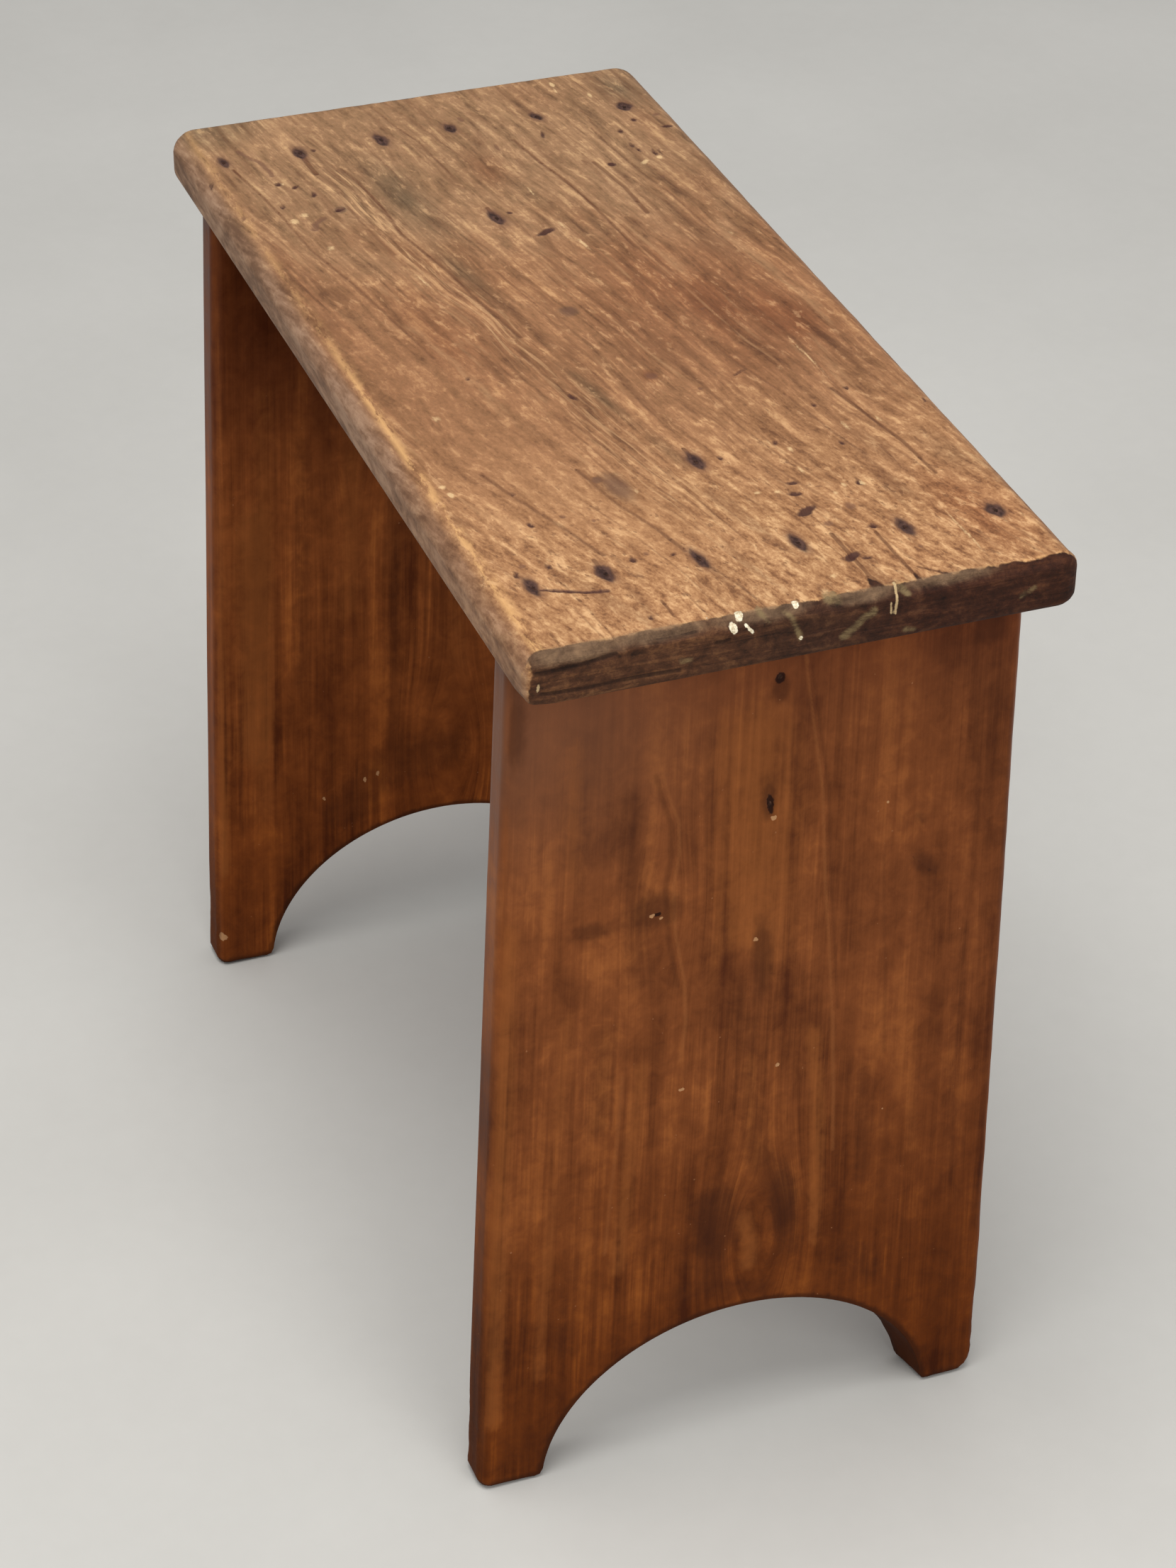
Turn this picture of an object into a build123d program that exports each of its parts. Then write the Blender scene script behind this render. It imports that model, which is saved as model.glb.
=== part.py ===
from build123d import *
import os

# A lacemaker's bench: one thick plank nailed down on two arched end boards and a rail.
# X runs along the seat, Y across it and Z up. The floor is at zero height, and the origin
# lies on it under the middle of the whole bench. All sizes are in millimetres.

# Driving dimensions of the seat plank
seat_length = 503.0
seat_width = 234.0
seat_thickness = 24.0
bench_height = 450.0
long_edge_top_round = 9.5
long_edge_bottom_round = 6.5
seat_end_top_round = 5.5
seat_end_bottom_round = 4.0
seat_corner_round = 9.0

# Driving dimensions of an end board
end_thickness = 21.0
seat_end_overhang = 32.5
front_setback = 5.5
back_setback = 7.5
front_flare = 17.0
back_flare = 2.5
side_edge_round = 4.5
foot_chamfer = 2.5
worn_heel_width = 6.5
worn_heel_height = 9.0

# The arch that leaves each end board its two feet, and how far its saw cut leans
front_foot_width = 30.5
back_foot_width = 27.5
arch_height = 72.0
arch_spring_depth = 5.0
arch_saw_drift = 4.0
arch_saw_drop = 3.5

# The rail that stands on edge under the middle of the seat
rail_thickness = 19.0
rail_depth = 112.0
rail_edge_round = 2.0

# Cut nails: a wedge-shaped shank under a small oblong head, driven just below the wood
nail_length = 60.0
nail_thickness = 2.8
nail_width_at_head = 4.6
nail_width_at_tip = 2.2
nail_head_length = 8.0
nail_head_width = 4.2
nail_head_height = 1.8
nail_head_bevel = 0.5
nail_sink = 0.8

# The turn that lays an upright nail level
quarter_turn = 90

# One length that every cutting solid runs past the face it cuts
overrun = 5.0

# Places of the nails through the seat, as shares of an end board's top width from its
# front edge, and of its thickness from its middle plane
right_row_shares = (
    (0.072, -0.30),
    (0.208, -0.32),
    (0.381, -0.25),
    (0.568, -0.16),
    (0.770, -0.03),
    (0.948, -0.05),
)
left_row_shares = (
    (0.043, 0.04),
    (0.208, 0.10),
    (0.389, 0.07),
    (0.544, -0.01),
    (0.740, 0.07),
    (0.935, 0.21),
)

# Places of the nails down into the rail, as shares of its length and of its thickness
rail_top_shares = ((-0.277, -0.10), (-0.029, -0.17), (0.329, 0.0))

# Places of the nails into the rail's ends, as shares of its thickness and of its depth
# below the seat
rail_end_shares = ((0.14, 0.257), (0.01, 0.81))

# Heights and places that follow from those sizes
seat_underside = bench_height - seat_thickness
seat_middle_height = bench_height - seat_thickness / 2
overall_width = seat_width - front_setback + front_flare
seat_back_y = overall_width / 2
seat_front_y = seat_back_y - seat_width
seat_middle_y = seat_back_y - seat_width / 2
board_front_top_y = seat_front_y + front_setback
board_back_top_y = seat_back_y - back_setback
board_top_width = board_back_top_y - board_front_top_y
board_front_foot_y = board_front_top_y - front_flare
board_back_foot_y = board_back_top_y + back_flare
board_outer_x = seat_length / 2 - seat_end_overhang
board_middle_x = board_outer_x - end_thickness / 2
rail_length = 2 * (board_outer_x - end_thickness)
arch_front_y = board_front_foot_y + front_foot_width
arch_back_y = board_back_foot_y - back_foot_width
arch_middle_y = (arch_front_y + arch_back_y) / 2
arch_half_width = (arch_back_y - arch_front_y) / 2


def eased_below(width, height, bottom_round):
    """A board's section: a rectangle with its two lower corners rounded."""
    outline = Rectangle(width, height)
    return fillet(outline.vertices().group_by(Axis.Y)[0], bottom_round)


def eased_all_round(width, height, top_round, bottom_round):
    """A plank's section, with one round for its upper corners and one for its lower ones."""
    outline = eased_below(width, height, bottom_round)
    return fillet(outline.vertices().group_by(Axis.Y)[-1], top_round)


def seat_plank():
    """The seat is what its cross-section, its side view and its plan have in common."""
    across = eased_all_round(
        seat_width, seat_thickness, long_edge_top_round, long_edge_bottom_round
    )
    along = eased_all_round(
        seat_length, seat_thickness, seat_end_top_round, seat_end_bottom_round
    )
    plan = RectangleRounded(seat_length, seat_width, seat_corner_round)
    swept_along = extrude(Plane.YZ * across, seat_length / 2, both=True)
    swept_across = extrude(Plane.XZ * along, seat_width / 2, both=True)
    swept_up = extrude(plan, seat_thickness / 2, both=True)
    plank = swept_along & swept_across & swept_up
    return Pos(0, seat_middle_y, seat_middle_height) * plank


def board_outline():
    """An end board's outline in its own plane: a slanted front edge, a nearly plumb back one."""
    front_top = (board_front_top_y, seat_underside)
    front_foot = (board_front_foot_y, 0)
    back_foot = (board_back_foot_y, 0)
    back_top = (board_back_top_y, seat_underside)
    return make_face(Polyline(front_top, front_foot, back_foot, back_top, close=True))


def eased_side_view():
    """An end board seen along Y: upright, with its two floor edges bevelled."""
    side_view = Rectangle(end_thickness, seat_underside)
    return chamfer(side_view.vertices().group_by(Axis.Y)[0], foot_chamfer)


def corner_wedge(foot_y, outward, width, height):
    """A wedge that takes off a foot's outer corner, width along the floor and height up."""
    slope = height / width
    under_foot = (foot_y - outward * (width + overrun), -overrun * slope)
    outside_low = (foot_y + outward * overrun, -overrun * slope)
    outside_high = (foot_y + outward * overrun, (width + overrun) * slope)
    wedge = make_face(Polyline(under_foot, outside_low, outside_high, close=True))
    return extrude(Plane.YZ * wedge, end_thickness + overrun, both=True)


def arch_outline():
    """The arch in a board's plane: an ellipse whose middle lies a little below the floor."""
    ellipse = Ellipse(arch_half_width, arch_height + arch_spring_depth)
    return Pos(arch_middle_y, -arch_spring_depth) * ellipse


def arch_mouth():
    """The foot of the arch, widened at 45 degrees to ease the feet's inner edges."""
    front_high = (arch_front_y + overrun, foot_chamfer + overrun)
    back_high = (arch_back_y - overrun, foot_chamfer + overrun)
    back_low = (arch_back_y + foot_chamfer + overrun, -overrun)
    front_low = (arch_front_y - foot_chamfer - overrun, -overrun)
    return make_face(Polyline(front_high, back_high, back_low, front_low, close=True))


def sawn_through(outline, drop):
    """The waste of a cut that starts square at the marked face and drifts on its way in."""
    saw_path = Vector(-end_thickness, -arch_saw_drift, -drop)
    lead_in = saw_path.normalized() * -overrun
    face = Pos(lead_in) * (Plane.YZ * outline)
    return extrude(face, overrun + saw_path.length + overrun, dir=saw_path)


def is_upright(edge):
    """An end board's long side edges rise further than the board is thick."""
    return edge.bounding_box().size.Z > end_thickness


def end_board(outer_x, heel_width, heel_height):
    """An end board with its marked face at outer_x, its edges eased and its arch sawn out."""
    board = extrude(Plane.YZ * board_outline(), -end_thickness)
    board = fillet(board.edges().filter_by(is_upright), side_edge_round)
    side_view = Pos(-end_thickness / 2, 0, seat_underside / 2) * (Plane.XZ * eased_side_view())
    board = board & extrude(side_view, overall_width, both=True)
    board = board - corner_wedge(board_front_foot_y, -1, foot_chamfer, foot_chamfer)
    board = board - corner_wedge(board_back_foot_y, 1, heel_width, heel_height)
    board = board - sawn_through(arch_outline(), arch_saw_drop)
    board = board - sawn_through(arch_mouth(), 0)
    return Pos(outer_x, 0, 0) * board


def centre_rail():
    """The rail on edge between the end boards, its two lower edges eased."""
    section = eased_below(rail_thickness, rail_depth, rail_edge_round)
    rail = extrude(Plane.YZ * section, rail_length / 2, both=True)
    return Pos(0, seat_middle_y, seat_underside - rail_depth / 2) * rail


def cut_nail():
    """One nail, point down, with the top of its head at zero height and its wide way along X."""
    shank_top = Pos(0, 0, -nail_head_height) * Rectangle(nail_width_at_head, nail_thickness)
    shank_tip = Pos(0, 0, -nail_length) * Rectangle(nail_width_at_tip, nail_thickness)
    shank = loft([shank_top, shank_tip])
    head = extrude(Rectangle(nail_head_length, nail_head_width), -nail_head_height)
    head = chamfer(head.faces().sort_by(Axis.Z)[-1].edges(), nail_head_bevel)
    return head + shank


def nail_hole():
    """What a driven nail takes out of the wood: itself and the pocket its head sank through."""
    pocket = extrude(Rectangle(nail_head_length, nail_head_width), nail_sink + overrun)
    crushed = extrude(Rectangle(nail_head_length, nail_head_width), -nail_head_bevel)
    return cut_nail() + pocket + crushed


def nail_group(seats, piece):
    """A copy of piece at each seat, kept as separate solids."""
    return [seat * piece for seat in seats]


def seat_nail_seats(middle_x, row_shares):
    """Where one row of nails stands in the seat, above an end board."""
    return [
        Pos(
            middle_x + end_thickness * through_share,
            board_front_top_y + board_top_width * across_share,
            bench_height - nail_sink,
        )
        for across_share, through_share in row_shares
    ]


def rail_top_seats():
    """Where the nails stand that hold the seat down to the rail."""
    return [
        Pos(
            rail_length * along_share,
            seat_middle_y + rail_thickness * across_share,
            bench_height - nail_sink,
        )
        for along_share, across_share in rail_top_shares
    ]


def rail_end_seats(side):
    """Where the nails lie that pass through an end board into the rail, heads outwards."""
    return [
        Pos(
            side * (board_outer_x - nail_sink),
            seat_middle_y + rail_thickness * across_share,
            seat_underside - rail_depth * down_share,
        )
        * Rot(0, side * quarter_turn, 0)
        for across_share, down_share in rail_end_shares
    ]


def drive(board, seats):
    """The board with a hole at each nail's seat."""
    return board - nail_group(seats, nail_hole())


def bench_pieces():
    """Every separate piece of the bench, by name, in its place."""
    right_row = seat_nail_seats(board_middle_x, right_row_shares)
    left_row = seat_nail_seats(-board_middle_x, left_row_shares)
    rail_row = rail_top_seats()
    right_ends = rail_end_seats(1)
    left_ends = rail_end_seats(-1)
    right_board = end_board(board_outer_x, worn_heel_width, worn_heel_height)
    left_board = end_board(end_thickness - board_outer_x, foot_chamfer, foot_chamfer)
    return {
        "seat_board": drive(seat_plank(), right_row + left_row + rail_row),
        "right_end_board": drive(right_board, right_row + right_ends),
        "left_end_board": drive(left_board, left_row + left_ends),
        "centre_rail": drive(centre_rail(), rail_row + right_ends + left_ends),
        "right_seat_nails": Compound(nail_group(right_row, cut_nail())),
        "left_seat_nails": Compound(nail_group(left_row, cut_nail())),
        "rail_seat_nails": Compound(nail_group(rail_row, cut_nail())),
        "right_rail_nails": Compound(nail_group(right_ends, cut_nail())),
        "left_rail_nails": Compound(nail_group(left_ends, cut_nail())),
    }


os.makedirs("parts", exist_ok=True)
for name, piece in bench_pieces().items():
    export_step(piece, f"parts/{name}.step")
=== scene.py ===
import math
from itertools import product

import bpy
import numpy as np
from mathutils import Matrix, Vector
from mathutils.geometry import delaunay_2d_cdt


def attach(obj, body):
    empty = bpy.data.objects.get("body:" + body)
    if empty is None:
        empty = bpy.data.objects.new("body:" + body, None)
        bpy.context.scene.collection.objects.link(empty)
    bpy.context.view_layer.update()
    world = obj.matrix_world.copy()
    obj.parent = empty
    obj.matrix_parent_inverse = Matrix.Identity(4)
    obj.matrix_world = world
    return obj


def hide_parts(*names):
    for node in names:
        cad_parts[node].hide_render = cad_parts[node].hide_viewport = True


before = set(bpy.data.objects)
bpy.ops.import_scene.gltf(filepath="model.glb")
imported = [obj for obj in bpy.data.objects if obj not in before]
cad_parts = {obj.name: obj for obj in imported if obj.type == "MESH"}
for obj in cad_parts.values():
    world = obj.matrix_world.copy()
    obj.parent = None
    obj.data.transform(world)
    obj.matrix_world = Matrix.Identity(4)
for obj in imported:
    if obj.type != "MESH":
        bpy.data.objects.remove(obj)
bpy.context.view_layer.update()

# A lacemaker's bench in worn pine and stained boards. Shapes are worked out in millimetres,
# in the frame's axes: X along the seat, Y across it, Z up from the floor. The near end is
# the one at +X, and the front is the long side at -Y.
MM = 0.001

# Sizes of the boards, as the frame has them
SEAT_LENGTH, SEAT_WIDTH, SEAT_THICK, SEAT_TOP = 503.0, 234.0, 24.0, 450.0
SEAT_FRONT, SEAT_BACK = -111.25, 122.75
SEAT_END, SEAT_MIDDLE = SEAT_LENGTH / 2, (SEAT_FRONT + SEAT_BACK) / 2
UNDERSIDE = SEAT_TOP - SEAT_THICK
BOARD_THICK, BOARD_OUTER, BOARD_INNER = 21.0, 219.0, 198.0
TOP_FRONT, TOP_BACK = -105.75, 115.25
FOOT_FRONT, FOOT_BACK = -122.75, 117.75
ARCH_MIDDLE, ARCH_SPRING, ARCH_HALF, ARCH_RISE = -1.0, -5.0, 91.25, 77.0
SAW_DRIFT, SAW_DROP = -4.0, -3.5
RAIL_FRONT, RAIL_BACK, RAIL_BOTTOM = -3.75, 15.25, 314.0

# Roundings of the seat's long sides and of its ends, each for the top and the underside
SIDE_ROUNDS, END_ROUNDS = (9.5, 6.5), (5.5, 4.0)
# The seat's corners from above, anticlockwise: (end, side, radius)
SEAT_CORNERS = ((1, 1, 9.0), (-1, 1, 9.5), (-1, -1, 10.0), (1, -1, 3.6))
SHARPEST_CORNER, CORNER_STEPS = 1.8, 5
# Points along the back, the far end, the front and the near end
SEAT_RING_STEPS = (210, 98, 210, 320)

# Rounding of an end board's sides, and of its arch on the face
BOARD_ROUND, ARCH_ROUND = 4.5, 1.2
# The front foot's outer corner: its radius, and the rounding of the face at each step round it
FOOT_RADIUS, FOOT_ROUNDS = 6.0, (4.2, 3.8, 3.4, 3.0)
# Below this height the arch opens out in two steps: (how far out, how high)
MOUTH_TOP, MOUTH_MIDDLE, MOUTH_FLOOR = 4.4, (1.6, 1.2), (4.2, 0.0)
# The back foot's outer corner, cut off at a width and a height: the near one is a worn heel
NEAR_HEEL, FAR_HEEL = (6.5, 9.0), (2.6, 2.6)
# The longest step along the outline of an end board or of the rail
OUTLINE_STEP = 3.0
# Gaps between the mesh points of the seat's top and of an end board's faces, finest first
SEAT_GAPS, BOARD_GAPS = (0.95, 1.8, 2.4, 3.2), (1.2, 2.1, 4.2)

# Cut nails: their length, their head, and the shank below it. Half sizes are (long, short) ones
NAIL_LENGTH, NAIL_SINK, HEAD_HEIGHT = 60.0, 0.8, 1.8
HALF_HEAD, SHANK_WIDTHS, HALF_SHANK = (4.0, 2.1), (4.6, 2.2), 1.4
# A head's rings from its middle outwards and down: (share of its half size, drop)
HEAD_RINGS = ((0.4, 0.0), (0.72, 0.12), (0.93, 0.38), (1.0, 0.75), (1.0, 1.45), (0.92, 1.8))
NAIL_SIDES, SHANK_STEPS = 20, 6

# How steeply the seat's grain climbs towards the back as it runs along the plank
GRAIN_SLOPE = 0.135
# Depths inside the marks of a field are held to this many millimetres
DEPTH_LIMIT = 3.0

# Places of the nails through the seat (X, Y), and of those through an end board (Y, Z)
RIGHT_ROW = (
    (202.2, -89.8), (201.8, -59.8), (203.3, -21.5), (205.1, 19.8), (207.9, 64.4), (207.4, 103.8),
)
LEFT_ROW = (
    (-207.7, -96.2), (-206.4, -59.8), (-207, -19.8), (-208.7, 14.5), (-207, 57.8), (-204.1, 100.9),
)
RAIL_ROW = ((-109.7, 3.85), (-11.5, 2.5), (130.3, 5.75))
RAIL_ENDS = ((8.4, 397.2), (5.9, 335.3))


# Noise and falloffs


def lattice_noise(points, cell, seed):
    """Smooth noise from -1 to 1 on rows of points, its bumps about one cell apart."""
    scaled = np.asarray(points, float) / np.asarray(cell, float)
    base = np.floor(scaled).astype(np.int64)
    part = scaled - base
    part = part * part * (3 - 2 * part)
    total = np.zeros(len(scaled))
    for corner in product((0, 1), repeat=3):
        at = base + corner
        mixed = at[:, 0] * 73856093 ^ at[:, 1] * 19349663 ^ at[:, 2] * 83492791 ^ seed * 2654435
        mixed &= 0x7FFFFFFF
        mixed = (mixed * (mixed * mixed * 15731 + 789221) + 1376312589) & 0x7FFFFFFF
        share = np.prod(np.where(corner, part, 1 - part), axis=1)
        total += share * (1 - mixed / 0x40000000)
    return total


def layered_noise(points, cell, seed, layers=3):
    """Noise with finer layers laid over it, each half as strong as the one before."""
    cell = np.asarray(cell, float)
    layered = [lattice_noise(points, cell / 2**i, seed + i) / 2**i for i in range(layers)]
    return sum(layered) / (2 - 2 ** (1 - layers))


def rise(value, low, high):
    """Climbs smoothly from 0 at low to 1 at high."""
    t = np.clip((value - low) / (high - low), 0, 1)
    return t * t * (3 - 2 * t)


def near_stroke(points, stroke, width):
    """How deep points lie inside a stroke of straight runs: 1 on its line, 0 at its width."""
    nearest = np.full(len(points), np.inf)
    for a, b in zip(np.array(stroke, float)[:-1], np.array(stroke, float)[1:]):
        run = b - a
        along = np.clip((points - a) @ run / (run @ run), 0, 1)
        nearest = np.minimum(nearest, np.linalg.norm(points - a - along[:, None] * run, axis=1))
    return 1 - nearest / width


def near_spot(points, spot, pointed=False):
    """How deep points lie inside a tilted oval (x, y, length, width, degrees): 1 at its middle."""
    x, y, length, width, tilt = spot
    turn = math.radians(tilt)
    away = points - (x, y)
    along = (away[:, 0] * math.cos(turn) + away[:, 1] * math.sin(turn)) * 2 / length
    across = (away[:, 1] * math.cos(turn) - away[:, 0] * math.sin(turn)) * 2 / width
    if pointed:
        return 1 - along**2 - np.abs(across)
    return 1 - np.sqrt(along**2 + across**2)


def wear(coats, seed):
    """The sum of coats of noise (depth, points, cell, share), one seed after another."""
    return sum(
        depth * (1 + layered_noise(points, cell, seed + i)) * share
        for i, (depth, points, cell, share) in enumerate(coats)
    )


def torn(flat, points, amounts, cell, seed):
    """Places in the plane, pushed about so that the marks laid on them have torn outlines."""
    pushes = [
        amount * layered_noise(points, cell, seed + 2 * i, 2) for i, amount in enumerate(amounts)
    ]
    return flat + np.column_stack(pushes)


# Meshes of boards


def spread_points(low, high, spacing_at, levels, seed):
    """Points over a rectangle, closer together where spacing_at asks for it."""
    rng = np.random.default_rng(seed)
    kept = []
    for finer, gap in zip((0,) + levels[:-1], levels):
        columns = np.arange(low[0], high[0], gap)
        rows = np.arange(low[1], high[1], gap * 0.866)
        grid = np.stack(np.meshgrid(columns, rows), -1).astype(float)
        grid[1::2, :, 0] += gap / 2
        points = grid.reshape(-1, 2) + rng.uniform(-0.16, 0.16, (grid.size // 2, 2)) * gap
        wanted = spacing_at(points)
        upper = gap if gap < levels[-1] else np.inf
        kept.append(points[(wanted > finer) & (wanted <= upper)])
    return np.concatenate(kept)


def closer(points, gap, grown, steps, spots, strokes=()):
    """The gaps between points, made finer round marks, each spot grown by some millimetres.

    steps are (how deep inside a spot, its gap) pairs, and the last gap is a stroke's too."""
    for x, y, length, width, tilt, *_ in spots:
        inside = near_spot(points, (x, y, length + grown, width + grown, tilt))
        for limit, finer in steps:
            gap = np.where(inside > limit, np.minimum(gap, finer), gap)
    for stroke, width, _ in strokes:
        inside = near_stroke(points, stroke, width * 1.8)
        gap = np.where(inside > 0, np.minimum(gap, steps[-1][1]), gap)
    return gap


def even_gap(gap):
    """The same gap between points everywhere."""
    return lambda points: np.full(len(points), gap)


def clear_of(points, loop, gap):
    """The points that keep a gap from every corner of a loop."""
    kept = np.ones(len(points), bool)
    for corner in loop:
        kept &= np.abs(points - corner).max(1) > gap
    return points[kept]


def steps_between(start, end, count):
    """The points of count even steps from start, the end itself left out."""
    (a, b), (c, d) = start, end
    return [(a + (c - a) * step / count, b + (d - b) * step / count) for step in range(count)]


def ring_faces(count, rings):
    """The quads between rings of count points that follow one another."""
    faces = []
    for low, i in product(range(0, (rings - 1) * count, count), range(count)):
        j = (i + 1) % count
        faces.append((low + i, low + count + i, low + count + j, low + j))
    return faces


def inset_loop(loop, amounts):
    """The loop with each side moved into the board by its own amount."""
    run = np.roll(loop, -1, 0) - loop
    normal = np.stack([-run[:, 1], run[:, 0]], 1)
    normal /= np.linalg.norm(normal, axis=1)[:, None]
    before, amount_before = np.roll(normal, 1, 0), np.roll(amounts, 1)
    turn = before[:, 0] * normal[:, 1] - before[:, 1] * normal[:, 0]
    square = np.abs(turn) > 0.9
    safe = np.where(square, turn, 1)
    mitre = np.stack(
        [
            (amount_before * normal[:, 1] - amounts * before[:, 1]) / safe,
            (amounts * before[:, 0] - amount_before * normal[:, 0]) / safe,
        ],
        1,
    )
    mean = (before + normal) / 2
    mean /= (mean**2).sum(1)[:, None]
    plain = mean * ((amounts + amount_before) / 2)[:, None]
    return loop + np.where(square[:, None], mitre, plain)


def fill_cap(loop, inner_points):
    """Triangles over the inside of a loop: (points, faces), the loop's own points first."""
    corners = [Vector(p) for p in np.concatenate([loop, inner_points])]
    found = delaunay_2d_cdt(corners, [], [list(range(len(loop)))], 1, 1e-5)
    places, faces, sources = found[0], found[2], found[3]
    index = {s: out for out, source in enumerate(sources) for s in source}
    order = [index[i] for i in range(len(corners))]
    rename = {out: i for i, out in enumerate(order)}
    return np.array([places[o][:] for o in order]), [[rename[v] for v in f] for f in faces]


def roll_steps(count):
    """The steps of a rounded edge, from the face out to the side: shares (inwards, downwards)."""
    turns = [math.pi / 2 * (1 - step / count) for step in range(count + 1)]
    return [(1 - math.cos(turn), 1 - math.sin(turn)) for turn in turns]


def board_rows(thick, rings, rounds, roll, flat):
    """Rings of points round a board's edge, from its marked face to its other one.

    rings are three calls: the face's ring at a share of its rounding, the side's at a share
    of the thickness and the back's at a share of its rounding. rounds are the roundings."""
    face_ring, side_ring, back_ring = rings
    face_round, back_round = rounds
    rows = [(face_ring(inward), face_round * down) for inward, down in roll_steps(roll)]
    for step in range(flat):
        share = (step + 1) / (flat + 1)
        depth = face_round + (thick - back_round - face_round) * share
        rows.append((side_ring(share), depth))
    for inward, down in roll_steps(roll)[::-1]:
        rows.append((back_ring(inward), thick - back_round * down))
    return rows


def sawn_rows(thick, face_loop, back_loop, rounding, roll, flat):
    """The rows of a board cut from one loop to another, each of its sides with a rounding."""
    rings = (
        lambda share: inset_loop(face_loop, rounding * share),
        lambda share: face_loop + (back_loop - face_loop) * share,
        lambda share: inset_loop(back_loop, rounding * share),
    )
    corner_round = (rounding + np.roll(rounding, 1)) / 2
    return board_rows(thick, rings, (corner_round, corner_round), roll, flat)


def closed_board(thick, rows, face_points, back_points):
    """(points in the plane, depths, faces) of a board: its rings with a cap at either face."""
    count = len(rows[0][0])
    plane, depth = [row[0] for row in rows], [row[1] for row in rows]
    faces = ring_faces(count, len(rows))
    total = count * len(rows)
    for row, points, flip in ((0, face_points, False), (len(rows) - 1, back_points, True)):
        filled, triangles = fill_cap(rows[row][0], points)
        plane.append(filled[count:])
        depth.append(np.full(len(filled) - count, thick if flip else 0.0))
        for triangle in triangles:
            named = [row * count + v if v < count else total + v - count for v in triangle]
            faces.append(named[::-1] if flip else named)
        total += len(filled) - count
    return np.concatenate(plane), np.concatenate(depth), faces


def normals_of(points, faces):
    """The mean direction that the surface faces at each point."""
    normal = np.zeros_like(points)
    for size in (3, 4):
        chosen = np.array([f for f in faces if len(f) == size])
        if not len(chosen):
            continue
        a, b, c = points[chosen[:, 0]], points[chosen[:, 1]], points[chosen[:, 2]]
        cross = np.cross(b - a, c - a)
        for k in range(size):
            np.add.at(normal, chosen[:, k], cross)
    return normal / np.maximum(np.linalg.norm(normal, axis=1), 1e-12)[:, None]


def make_piece(name, points, faces, fields, material, node):
    """A finished piece in place of a node of the frame, with its fields as point values."""
    mesh = bpy.data.meshes.new(name)
    mesh.from_pydata((points * MM).tolist(), [], [list(f) for f in faces])
    for field, values in fields.items():
        layer = mesh.attributes.new(field, "FLOAT", "POINT")
        layer.data.foreach_set("value", np.asarray(values, np.float32))
    mesh.shade_smooth()
    mesh.materials.append(material)
    mesh.validate()
    piece = bpy.data.objects.new(name, mesh)
    bpy.context.scene.collection.objects.link(piece)
    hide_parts(node)
    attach(piece, "root")
    return piece


# Materials


def tone(red, green, blue):
    """A colour as it should look on screen, in 0 to 255, for a shader's colour socket."""
    parts = [c / 255 for c in (red, green, blue)]
    return [c / 12.92 if c <= 0.04045 else ((c + 0.055) / 1.055) ** 2.4 for c in parts] + [1]


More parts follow.
